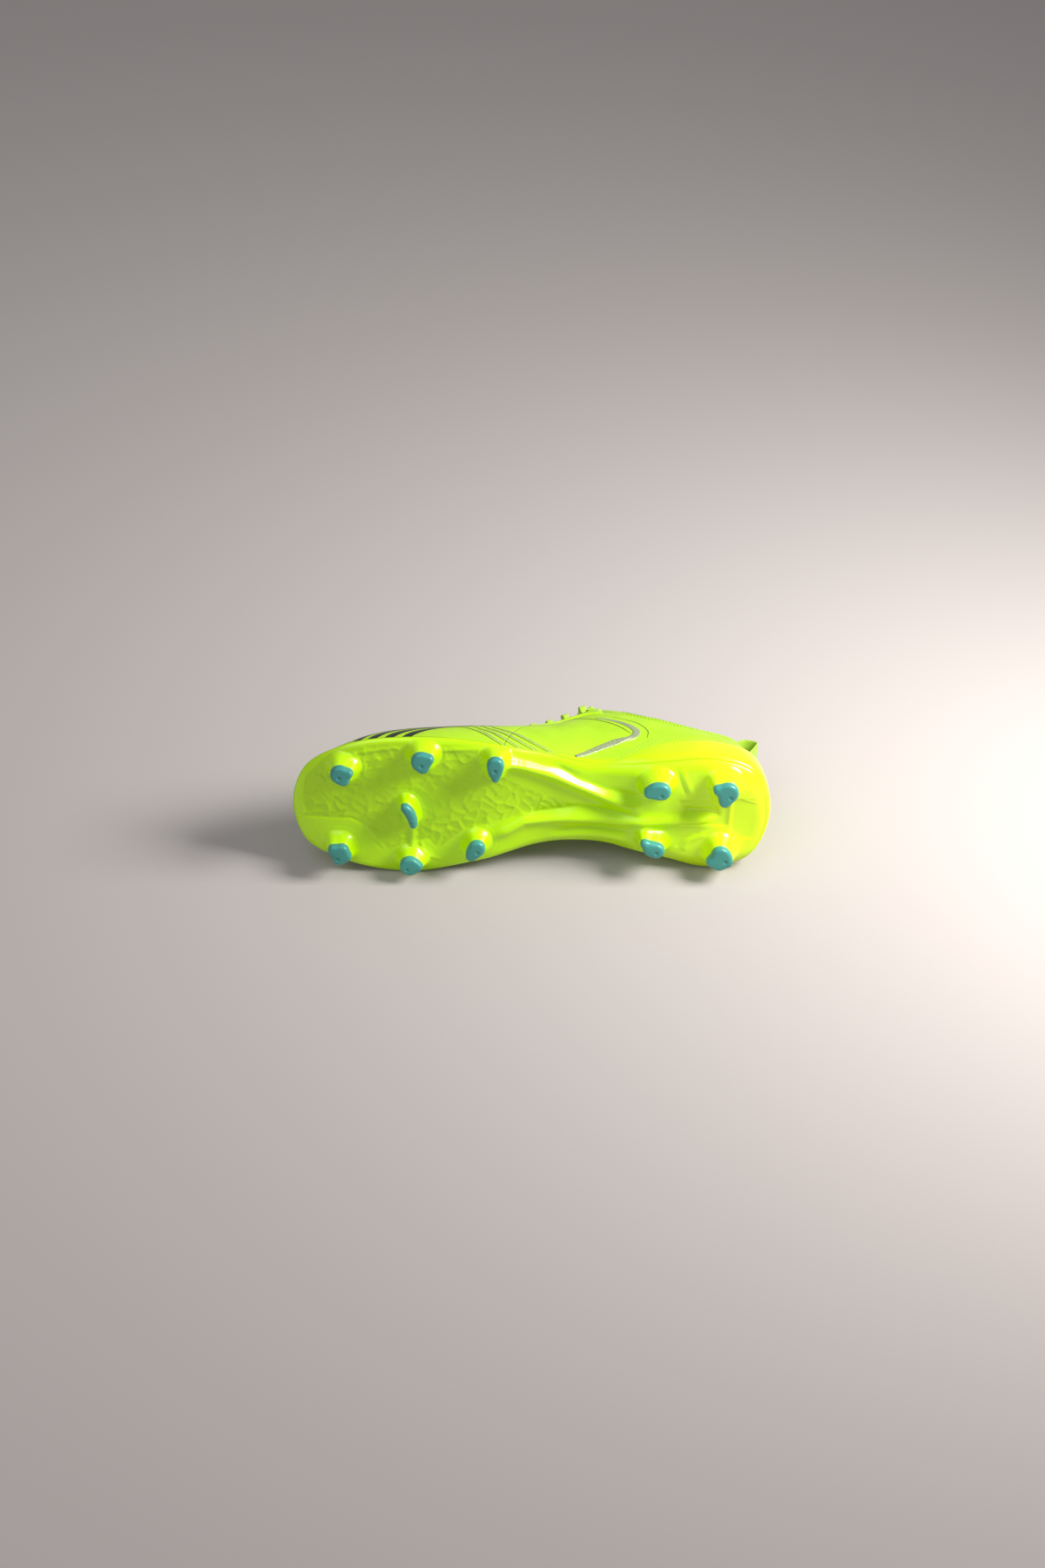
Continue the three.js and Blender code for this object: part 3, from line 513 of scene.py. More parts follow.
def ribbon(
    name: str, path: Array, across: Array, half: Array | float, thick: float, material: bpy.types.Material,
    sides: int = 14,
) -> bpy.types.Object:
    """Flat woven ribbon with round edges along a path.

    Args:
        name: the piece's name.
        path: points of its middle, in mm.
        across: direction of its width at each point.
        half: half its width.
        thick: its thickness.
        material: its finish.
        sides: points round its section.

    Returns:
        The object.
    """
    tangent = unit(np.gradient(path, axis=0))
    w = unit(across - tangent * np.sum(across * tangent, 1, keepdims=True))
    n = np.cross(tangent, w)
    angle = 2 * np.pi * np.arange(sides) / sides
    c, s = np.cos(angle), np.sin(angle)
    flat = np.sign(c) * np.abs(c) ** 0.6
    round_ = np.sign(s) * np.abs(s) ** 0.8
    half = np.broadcast_to(np.asarray(half, float), (len(path),))
    ring = (
        path[:, None, :]
        + w[:, None, :] * (flat[None, :] * half[:, None])[..., None]
        + n[:, None, :] * (round_ * thick / 2)[None, :, None]
    )
    run = np.concatenate([[0], np.cumsum(np.linalg.norm(np.diff(path, axis=0), axis=1))])
    uv = np.stack(np.broadcast_arrays(run[:, None], flat[None, :] * half[:, None] + 20), -1).reshape(-1, 2)
    count = len(path) * sides
    points = np.vstack([ring.reshape(-1, 3), path[:1], path[-1:]])
    uv = np.vstack([uv, uv[:1], uv[-1:]])
    i = np.arange(sides)
    end = count - sides
    faces = quads(len(path), sides, close_j=True).tolist()
    faces += np.stack([i, (i + 1) % sides, np.full(sides, count)], 1).tolist()
    faces += np.stack([end + (i + 1) % sides, end + i, np.full(sides, count + 1)], 1).tolist()
    obj = make_piece(name, points, faces, material, uv=uv)
    make_normals_outward(obj)
    return obj


def make_normals_outward(obj: bpy.types.Object) -> None:
    """Turns every face of a closed mesh outward."""
    bm = bmesh.new()
    bm.from_mesh(obj.data)
    bmesh.ops.recalc_face_normals(bm, faces=bm.faces)
    bm.to_mesh(obj.data)
    bm.free()


def join(name: str, parts: Sequence[bpy.types.Object]) -> bpy.types.Object:
    """Joins loose parts that share a finish into one piece."""
    bpy.ops.object.select_all(action="DESELECT")
    for part in parts:
        part.select_set(True)
    bpy.context.view_layer.objects.active = parts[0]
    bpy.ops.object.join()
    joined = bpy.context.view_layer.objects.active
    joined.name = joined.data.name = name
    return joined


# ---------------------------------------------------------------- finishes


def add_node(
    tree: bpy.types.NodeTree, kind: str, settings: dict | None = None, links: dict | None = None
) -> bpy.types.Node:
    """Adds a node to a tree.

    Args:
        tree: the tree it goes into.
        kind: the node's type name.
        settings: its own properties by name.
        links: input sockets by name or number, each with a value or the output socket that feeds it.

    Returns:
        The node.
    """
    node = tree.nodes.new(kind)
    for key, value in (settings or {}).items():
        setattr(node, key, value)
    for key, value in (links or {}).items():
        if isinstance(value, bpy.types.NodeSocket):
            tree.links.new(value, node.inputs[key])
        else:
            node.inputs[key].default_value = value
    return node


@dataclass(frozen=True)
class Finish:
    """A material: what its surface is, in numbers. Subclasses add the pattern."""

    name: str
    colour: str
    roughness: float
    shade: str = ""
    metallic: float = 0.0
    ior: float = 1.5
    coat: float = 0.0
    sheen: float = 0.0
    # painted glow: the surface emits its own colour at this strength, though it is no lamp
    painted_glow: float = 0.0
    subsurface: float = 0.0
    grain_mm: float = 0.8
    relief_mm: float = 0.05

    def build(self) -> bpy.types.Material:
        """Makes the Blender material."""
        material = bpy.data.materials.new(self.name)
        material.use_nodes = True
        tree = material.node_tree
        tree.nodes.clear()
        place = add_node(tree, "ShaderNodeTexCoord")
        colour, height, roughness = self.pattern(tree, place)
        bump = add_node(
            tree, "ShaderNodeBump", links={"Height": height, "Distance": self.relief_mm * MM, "Strength": 1.0}
        )
        shader = add_node(
            tree,
            "ShaderNodeBsdfPrincipled",
            links={
                "Base Color": colour,
                "Metallic": self.metallic,
                "IOR": self.ior,
                "Coat Weight": self.coat,
                "Coat Roughness": 0.06,
                "Sheen Weight": self.sheen,
                "Sheen Roughness": 0.4,
                "Subsurface Weight": self.subsurface,
                "Subsurface Radius": (1.0, 1.0, 0.25),
                "Subsurface Scale": 3 * MM,
                # painted glow: emission in the finish's own colour
                "Emission Color": linear(self.colour),
                "Emission Strength": self.painted_glow,
                "Roughness": roughness,
                "Normal": bump.outputs["Normal"],
            },
        )
        out = add_node(tree, "ShaderNodeOutputMaterial", links={"Surface": shader.outputs["BSDF"]})
        out.is_active_output = True
        return material

    def pattern(self, tree: bpy.types.NodeTree, place: bpy.types.Node) -> tuple:
        """Colour, height and roughness of the surface: here a fine even grain.

        Args:
            tree: the material's tree.
            place: its Texture Coordinate node.

        Returns:
            Three outputs or values: colour, height, roughness.
        """
        where = place.outputs["Object"]
        grain = add_node(
            tree, "ShaderNodeTexNoise",
            links={"Vector": where, "Scale": 1 / (self.grain_mm * MM), "Detail": 3.0}
        )
        broad = add_node(tree, "ShaderNodeTexNoise", links={"Vector": where, "Scale": 45.0, "Detail": 2.0})
        colour = self.tint(tree, broad.outputs["Fac"])
        rough = add_node(
            tree, "ShaderNodeMapRange",
            links={
                "Value": broad.outputs["Fac"], "To Min": self.roughness * 0.85,
                "To Max": self.roughness * 1.15
            },
        )
        return colour, grain.outputs["Fac"], rough.outputs["Result"]

    def tint(self, tree: bpy.types.NodeTree, share: bpy.types.NodeSocket) -> bpy.types.NodeSocket:
        """Drifts from the colour to its shade by share, from 0.35 to 0.75."""
        ramp = add_node(
            tree, "ShaderNodeMapRange", links={"Value": share, "From Min": 0.35, "From Max": 0.75}
        )
        blend = add_node(
            tree, "ShaderNodeMix", {"data_type": "RGBA"},
            {0: ramp.outputs["Result"], 6: linear(self.colour), 7: linear(self.shade or self.colour)},
        )
        return blend.outputs[2]


@dataclass(frozen=True)
class MouldedSole(Finish):
    """Glossy tinted TPU from the mould: clear lime, deeper where the relief is sunk, yellower at the heel."""

    sunk: str = "#9DBF1F"
    heel: str = "#EBFF3C"
    heel_from_mm: float = 60
    heel_to_mm: float = 140

    def pattern(self, tree: bpy.types.NodeTree, place: bpy.types.Node) -> tuple:
        """Adds the matt, deeper forefoot field and the heel's yellow to the even grain."""
        where = place.outputs["Object"]
        depth = add_node(tree, "ShaderNodeAttribute", {"attribute_name": "field"}).outputs["Fac"]
        soft = add_node(tree, "ShaderNodeTexNoise", links={"Vector": where, "Scale": 130.0, "Detail": 3.0})
        fine = add_node(
            tree, "ShaderNodeTexNoise",
            links={"Vector": where, "Scale": 1 / (self.grain_mm * MM), "Detail": 2.0}
        )
        split = add_node(tree, "ShaderNodeSeparateXYZ", links={0: where})
        heel = add_node(
            tree, "ShaderNodeMapRange", {"interpolation_type": "SMOOTHSTEP"},
            {
                "Value": split.outputs["Y"], "From Min": self.heel_from_mm * MM,
                "From Max": self.heel_to_mm * MM
            },
        )
        body = add_node(
            tree, "ShaderNodeMix", {"data_type": "RGBA"},
            {0: heel.outputs["Result"], 6: linear(self.colour), 7: linear(self.heel)},
        )
        cloud = add_node(
            tree, "ShaderNodeMapRange", links={"Value": soft.outputs["Fac"], "To Min": 0.8, "To Max": 1.1}
        )
        share = add_node(
            tree, "ShaderNodeMath", {"operation": "MULTIPLY"}, {0: depth, 1: cloud.outputs["Result"]}
        )
        colour = add_node(
            tree, "ShaderNodeMix", {"data_type": "RGBA"},
            {0: share.outputs["Value"], 6: body.outputs[2], 7: linear(self.sunk)},
        )
        rough = add_node(
            tree, "ShaderNodeMapRange", links={
                "Value": depth, "To Min": self.roughness, "To Max": self.roughness + 0.12
            }
        )
        return colour.outputs[2], fine.outputs["Fac"], rough.outputs["Result"]


@dataclass(frozen=True)
class CoatedSynthetic(Finish):
    """PU-coated microfibre, embossed with a fine pebble grain: soft satin lime."""

    def pattern(self, tree: bpy.types.NodeTree, place: bpy.types.Node) -> tuple:
        """Pebble grain from cells, with a faint drift of colour."""
        where = place.outputs["Object"]
        cells = add_node(
            tree, "ShaderNodeTexVoronoi", {"feature": "SMOOTH_F1"},
            {"Vector": where, "Scale": 1 / (self.grain_mm * MM), "Smoothness": 0.6},
        )
        broad = add_node(tree, "ShaderNodeTexNoise", links={"Vector": where, "Scale": 60.0, "Detail": 4.0})
        colour = self.tint(tree, broad.outputs["Fac"])
        rough = add_node(
            tree, "ShaderNodeMapRange",
            links={
                "Value": broad.outputs["Fac"], "To Min": self.roughness * 0.85, "To Max": self.roughness * 1.2
            },
        )
        return colour, cells.outputs["Distance"], rough.outputs["Result"]


@dataclass(frozen=True)
class Woven(Finish):
    """Woven or knitted textile: crossing threads by the piece's own surface lengths, or by its place."""

    on_surface: bool = False

    def pattern(self, tree: bpy.types.NodeTree, place: bpy.types.Node) -> tuple:
        """Two crossed thread waves set the height and paint shade into the gaps between threads."""
        if self.on_surface:
            where = add_node(tree, "ShaderNodeUVMap", {"uv_map": "Surface"}).outputs["UV"]
            scale = 1 / self.grain_mm
        else:
            where = place.outputs["Object"]
            scale = 1 / (self.grain_mm * MM)
        turned = add_node(
            tree, "ShaderNodeMapping", links={
                "Vector": where, "Rotation": (0.0, 0.0, math.radians(45)), "Scale": (scale,) * 3
            }
        )
        waves = []
        for direction in ("X", "Y"):
            wave = add_node(
                tree, "ShaderNodeTexWave", {"wave_type": "BANDS", "bands_direction": direction},
                {"Vector": turned.outputs["Vector"], "Scale": 0.32, "Distortion": 0.4, "Detail": 1.0},
            )
            waves.append(wave.outputs["Fac"])
        threads = add_node(
            tree, "ShaderNodeMath", {"operation": "MAXIMUM"}, {0: waves[0], 1: waves[1]}
        ).outputs["Value"]
        # painted shade: the gaps between threads are coloured toward the darker shade
        painted_gap_shade = add_node(
            tree, "ShaderNodeMapRange", links={
                "Value": threads, "From Min": 0.5, "From Max": 0.95, "To Min": 1.0, "To Max": 0.0
            }
        )
        colour = add_node(
            tree, "ShaderNodeMix", {"data_type": "RGBA"},
            {0: painted_gap_shade.outputs["Result"], 6: linear(self.colour), 7: linear(self.shade or self.colour)},
        )
        return colour.outputs[2], threads, self.roughness


@dataclass(frozen=True)
class BeadedFilm(Finish):
    """Heat-bonded metallic film with a raised bead pattern, and a painted highlight on each bead."""

    def pattern(self, tree: bpy.types.NodeTree, place: bpy.types.Node) -> tuple:
        """Round beads as height; the same mask paints each bead lighter at its middle, a painted highlight, and
        darker between beads.
        """
        where = place.outputs["Object"]
        cells = add_node(
            tree, "ShaderNodeTexVoronoi", links={"Vector": where, "Scale": 1 / (self.grain_mm * MM)}
        )
        bead_and_glint = add_node(
            tree, "ShaderNodeMapRange", links={
                "Value": cells.outputs["Distance"], "From Max": 0.6, "To Min": 1.0, "To Max": 0.0
            }
        )
        # painted highlight: each bead is coloured lighter at its middle and darker between beads
        colour = add_node(
            tree, "ShaderNodeMix", {"data_type": "RGBA"},
            {0: bead_and_glint.outputs["Result"], 6: linear(self.shade), 7: linear(self.colour)},
        )
        return colour.outputs[2], bead_and_glint.outputs["Result"], self.roughness


class Finishes(Enum):
    """Every finish on the boot."""

    # Injection-moulded TPU, polished mould: wet gloss, the light goes a little way in, and a faint painted glow.
    SOLE = MouldedSole(
        "tpu_moulded_gloss", "#BEF200", 0.24, coat=0.15, painted_glow=0.05, subsurface=0.1, grain_mm=1.6,
        relief_mm=0.02,
        sunk="#B2E200", heel="#DFFF1A",
    )
    # Second-shot TPU of the tips: satin, a touch mottled by the ground.
    TIP = Finish("tpu_tip_satin", "#45A095", 0.33, shade="#398A83", coat=0.08, grain_mm=0.9, relief_mm=0.03)
    # PU-coated microfibre upper: satin lime with a pebble grain and a faint painted glow.
    UPPER = CoatedSynthetic(
        "pu_microfibre_grained", "#B3E21F", 0.42, shade="#A5D31A", painted_glow=0.03, grain_mm=0.7, relief_mm=0.05
    )
    # The same microfibre, pressed smooth for overlays and edges, with the same faint painted glow.
    OVERLAY = CoatedSynthetic(
        "pu_overlay_pressed", "#B8E61E", 0.34, shade="#A9D51A", painted_glow=0.03, grain_mm=0.5, relief_mm=0.03
    )
    # Screen-printed near-black ink film: crisp, half gloss.
    INK = Finish("ink_film_black", "#1F2613", 0.3, shade="#2A331B", grain_mm=0.6, relief_mm=0.01)
    # Thin printed outline, dark olive because the lime glows through it.
    LINE = Finish("ink_film_olive", "#6F8A1E", 0.4, shade="#5E7718", grain_mm=0.6, relief_mm=0.01)
    # Silver-grey bonded film with beads, each with a painted highlight.
    SILVER = BeadedFilm(
        "film_silver_beaded_glints", "#D9DDB8", 0.3, shade="#A3B183", metallic=0.35, grain_mm=1.1, relief_mm=0.18
    )
    # Plain part of the silver film.
    SILVER_PLAIN = Finish(
        "film_silver_plain", "#B5C295", 0.33, shade="#A5B388", metallic=0.35, grain_mm=0.8, relief_mm=0.02
    )
    # Bonded polyester sewing thread.
    THREAD = Finish(
        "thread_polyester", "#A9C93A", 0.5, shade="#8FB02C", sheen=0.2, grain_mm=0.3, relief_mm=0.03
    )
    # The same thread, coloured darker for the dotted rows: painted shade of the needle holes.
    THREAD_HOLE_SHADE = Finish(
        "thread_needle_hole_shade", "#93B224", 0.55, shade="#84A21E", grain_mm=0.3, relief_mm=0.03
    )
    # Brushed knit of the lining and padded collar; the loops are drawn coarse enough to show, with painted shade
    # between them.
    KNIT = Woven(
        "knit_lining_brushed", "#B6D944", 0.85, shade="#8FAE2E", sheen=0.35, grain_mm=1.3, relief_mm=0.25
    )
    # Woven top cloth of the sockliner, charcoal, with painted shade between its threads.
    SOCK = Woven(
        "woven_sockliner_cloth", "#34373A", 0.85, shade="#1F2123", sheen=0.3, grain_mm=1.4, relief_mm=0.2
    )
    # Tubular woven polyester lace, with painted shade between its threads and a faint painted glow.
    LACE = Woven(
        "woven_lace_polyester", "#C3EA3A", 0.75, shade="#8FB324", sheen=0.25, painted_glow=0.04, grain_mm=0.9, relief_mm=0.2,
        on_surface=True,
    )
    # Grosgrain webbing of the heel loop, with painted shade between its threads and a faint painted glow.
    WEBBING = Woven(
        "woven_webbing_grosgrain", "#BDE534", 0.7, shade="#86A820", sheen=0.25, painted_glow=0.04, grain_mm=1.0,
        relief_mm=0.25, on_surface=True,
    )
    # Thermoformed fibre sheet of the stiffeners.
    STIFFENER = Finish(
        "fibre_sheet_thermoformed", "#D8D3C2", 0.7, shade="#C7C0AB", grain_mm=0.6, relief_mm=0.08
    )
    # Stitched-in insole board, pressed fibre.
    BOARD = Finish("fibreboard_pressed", "#E2DDCC", 0.85, shade="#D0C9B4", grain_mm=0.8, relief_mm=0.08)
    # Lacquered lace tip.
    AGLET = Finish(
        "acetate_lace_tip", "#D2F55A", 0.2, shade="#C6EA4E", coat=0.4, grain_mm=0.5, relief_mm=0.01
    )


class Wardrobe:
    """Builds each finish once, when it is first worn."""

    def __init__(self) -> None:
        """Starts empty."""
        self._made: dict[Finishes, bpy.types.Material] = {}

    def __getitem__(self, which: Finishes) -> bpy.types.Material:
        """The material of a finish."""
        if which not in self._made:
            self._made[which] = which.value.build()
        return self._made[which]


WEAR = Wardrobe()


# ---------------------------------------------------------------- stitches and other repeats


@dataclass(frozen=True)
class Repeat:
    """Geometry Nodes tree that sets small rounded grains along lines: stitches, dots and rivets."""

    name: str
    pitch: float
    length: float
    width: float
    rings: int = 5
    segments: int = 8

    def tree(self, material: bpy.types.Material) -> bpy.types.NodeTree:
        """Builds the tree with named inputs for pitch, length and width."""
        tree = bpy.data.node_groups.new(self.name, "GeometryNodeTree")
        face = tree.interface
        face.new_socket("Lines", in_out="INPUT", socket_type="NodeSocketGeometry")
        for title in ("Pitch", "Length", "Width"):
            face.new_socket(title, in_out="INPUT", socket_type="NodeSocketFloat")
        face.new_socket("Stitches", in_out="OUTPUT", socket_type="NodeSocketGeometry")
        ins = add_node(tree, "NodeGroupInput")
        curve = add_node(tree, "GeometryNodeMeshToCurve", links={"Mesh": ins.outputs["Lines"]})
        points = add_node(
            tree, "GeometryNodeCurveToPoints", {"mode": "LENGTH"},
            {"Curve": curve.outputs["Curve"], "Length": ins.outputs["Pitch"]},
        )
        grain = add_node(
            tree, "GeometryNodeMeshUVSphere",
            links={"Segments": self.segments, "Rings": self.rings, "Radius": 0.5}
        )
        size = add_node(
            tree, "ShaderNodeCombineXYZ",
            links={"X": ins.outputs["Width"], "Y": ins.outputs["Width"], "Z": ins.outputs["Length"]},
        )
        placed = add_node(
            tree, "GeometryNodeInstanceOnPoints",
            links={
                "Points": points.outputs["Points"],
                "Instance": grain.outputs["Mesh"],
                "Rotation": points.outputs["Rotation"],
                "Scale": size.outputs["Vector"],
            },
        )
        real = add_node(tree, "GeometryNodeRealizeInstances", links={"Geometry": placed.outputs["Instances"]})
        smooth_ = add_node(tree, "GeometryNodeSetShadeSmooth", links={0: real.outputs["Geometry"]})
        dressed = add_node(
            tree, "GeometryNodeSetMaterial", links={"Geometry": smooth_.outputs[0], "Material": material}
        )
        add_node(tree, "NodeGroupOutput", links={"Stitches": dressed.outputs["Geometry"]})
        return tree

    def along(
        self, name: str, lines: Sequence[Array], which: Finishes, slot: str, body: str
    ) -> bpy.types.Object:
        """Sets the grains along lines.

        Args:
            name: the piece's name.
            lines: polylines in mm, on the last's axes.
            which: the finish.
            slot: not used.
            body: the CAD body that the piece rides on.

        Returns:
            The piece, a plain mesh.
        """
        mesh = bpy.data.meshes.new(name + "_lines")
        points = np.vstack(lines)
        edges, start = [], 0
        for line in lines:
            edges += [(start + i, start + i + 1) for i in range(len(line) - 1)]
            start += len(line)
        mesh.from_pydata(((points + SHIFT) * MM).tolist(), edges, [])
        source = bpy.data.objects.new(name + "_lines", mesh)
        bpy.context.scene.collection.objects.link(source)
        tree = self.tree(WEAR[which])
        modifier = source.modifiers.new("repeat", "NODES")
        modifier.node_group = tree
        sizes = {"Pitch": self.pitch, "Length": self.length, "Width": self.width}
        for item in tree.interface.items_tree:
            if item.in_out == "INPUT" and item.name in sizes:
                modifier[item.identifier] = sizes[item.name] * MM
        graph = bpy.context.evaluated_depsgraph_get()
        made = bpy.data.meshes.new_from_object(source.evaluated_get(graph))
        bpy.data.objects.remove(source)
        made.name = name
        piece = bpy.data.objects.new(name, made)
        bpy.context.scene.collection.objects.link(piece)
        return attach(piece, body)


STITCH = Repeat("lock_stitch", pitch=2.4, length=1.9, width=0.55)
DOTS = Repeat("needle_dots", pitch=1.9, length=0.9, width=0.6)
BOOT = "boot"


# ---------------------------------------------------------------- sole


def line_distance(x: Array, y: Array, line: Sequence[Sequence[float]]) -> tuple[Array, Array]:
    """Distance of points from a polyline, and how far along it their nearest point lies (0 to 1)."""
    points = np.asarray(line, float)
    legs = np.diff(points, axis=0)
    sizes = np.hypot(legs[:, 0], legs[:, 1])
    run = np.concatenate([[0], np.cumsum(sizes)])
    best, share = np.full(np.shape(x), 1e9), np.zeros(np.shape(x))
    for (ax, ay), (dx, dy), size, start in zip(points, legs, sizes, run):
        t = np.clip(((x - ax) * dx + (y - ay) * dy) / size**2, 0, 1)
        d = np.hypot(x - ax - t * dx, y - ay - t * dy)
        share = np.where(d < best, (start + t * size) / run[-1], share)
        best = np.minimum(d, best)
    return best, share


@dataclass(frozen=True)
class Crest:
    """A ridge, or with a negative height a groove, along a line in plan."""

    line: tuple[tuple[float, float], ...]
    height: float
    half: float
    sharp: float = 2.0
    fade: tuple[float, float] = (0.12, 0.12)

    def lift(self, x: Array, y: Array) -> Array:
        """How far it stands out of the sole at points of the plan."""
        d, share = line_distance(x, y, self.line)
        ends = smooth(0, self.fade[0], share) * (1 - smooth(1 - self.fade[1], 1, share))
        return self.height * np.exp(-((d / self.half) ** self.sharp)) * ends


CRESTS = (
    # Waist: the outer and inner ridge, the creases between them, and the low ridge on the inner side.
    Crest(((32, -24), (27, -5), (20, 14), (7, 44), (-3, 70)), 4.6, 4.4, 1.7, (0.06, 0.2)),
    Crest(((-24, -27), (-11, -4), (-9, 24), (-9, 54), (-5, 113)), 3.6, 3.8, 1.9, (0.1, 0.1)),
    Crest(((-7, -5), (-1.5, 27), (-5.5, 68)), -1.6, 2.0, 1.6, (0.15, 0.2)),
    Crest(((30, 8), (18, 27), (11, 44), (7, 68)), -2.0, 2.6, 1.6, (0.2, 0.15)),
    Crest(((-20, 10), (-15.5, 36), (-16, 64)), -1.6, 2.2, 1.6, (0.2, 0.3)),
    Crest(((-26, 6), (-22.5, 30), (-24, 64)), 2.0, 3.0, 1.8, (0.2, 0.2)),
    # Heel: a slot, a small mound, and the creases round the raised middle.
    Crest(((-0.5, 90), (-1, 114)), -2.0, 2.6, 2.6, (0.15, 0.15)),
    Crest(((34, 83), (22, 87), (8.5, 93)), -0.7, 1.0, 1.6, (0.1, 0.2)),
    Crest(((34, 86.5), (22, 90.5), (9, 96.5)), 0.6, 1.6, 2.0, (0.1, 0.2)),
    Crest(((-26, 88), (-20, 91), (-13, 103)), -0.6, 1.1, 1.6, (0.1, 0.2)),
    Crest(((-28, 92), (-21, 95), (-15, 106)), 0.6, 1.6, 2.0, (0.1, 0.2)),
    Crest(((9, 125), (6.5, 137)), 0.5, 0.9, 2.0, (0.2, 0.2)),
    # Forefoot: the toe seam, the rib from the centre stud, and the ledge between the outer studs.
    Crest(((-14, -142), (-12, -108), (-15, -102.5), (-28, -94), (-34, -89)), -0.5, 0.75, 2.0, (0.02, 0.06)),
    Crest(((-11, -71), (-30, -71)), 1.3, 2.0, 3.0, (0.1, 0.1)),
    Crest(((-24, -66), (-31, -65), (-36.5, -60), (-39, -53)), 0.6, 0.9, 2.0, (0.15, 0.15)),
    Crest(((37, -56), (38.5, -29)), 0.9, 1.6, 2.0, (0.15, 0.15)),
    Crest(((27, -118), (33, -104), (38, -76)), 0.7, 1.3, 2.0, (0.15, 0.15)),
)


@dataclass(frozen=True)
class Crinkle:
    """Crushed-foil texture: tilted facets between fine bent ridges, from seeded cells."""

    cell: float = 6.6
    ridge: float = 0.32
    tilt: float = 0.12
    seed: int = 7

    def lift(self, x: Array, y: Array) -> Array:
        """Height of the texture at points of the plan."""
        rng = np.random.default_rng(self.seed)
        gx, gy = np.meshgrid(np.arange(-60, 60, self.cell), np.arange(-155, 45, self.cell))
        seeds = np.stack([gx.ravel(), gy.ravel()], 1) + rng.uniform(-0.48, 0.48, (gx.size, 2)) * self.cell
        tilts = rng.normal(0, 1, seeds.shape)
        wx = x + 1.1 * np.sin(y / 3.1 + 1.3) + 0.5 * np.sin(y / 1.3 + x / 2.1)
        wy = y + 1.1 * np.sin(x / 2.7 + 0.4) + 0.5 * np.sin(x / 1.5 - y / 1.9)
        flat_x, flat_y = wx.ravel(), wy.ravel()
        out = np.empty(flat_x.size)
        for start in range(0, flat_x.size, 20000):
            part = slice(start, start + 20000)
            dx, dy = flat_x[part, None] - seeds[None, :, 0], flat_y[part, None] - seeds[None, :, 1]
            d = np.hypot(dx, dy)
            two = np.argpartition(d, 1, axis=1)[:, :2]
            pair = np.sort(np.take_along_axis(d, two, 1), 1)
            nearest = d.argmin(1)
            rows = np.arange(len(nearest))
            lean = dx[rows, nearest] * tilts[nearest, 0] + dy[rows, nearest] * tilts[nearest, 1]
            edge = pair[:, 1] - pair[:, 0]
            out[part] = self.ridge * np.exp(-((edge / 1.5) ** 2)) + self.tilt * lean / 2.5
        return out.reshape(x.shape)


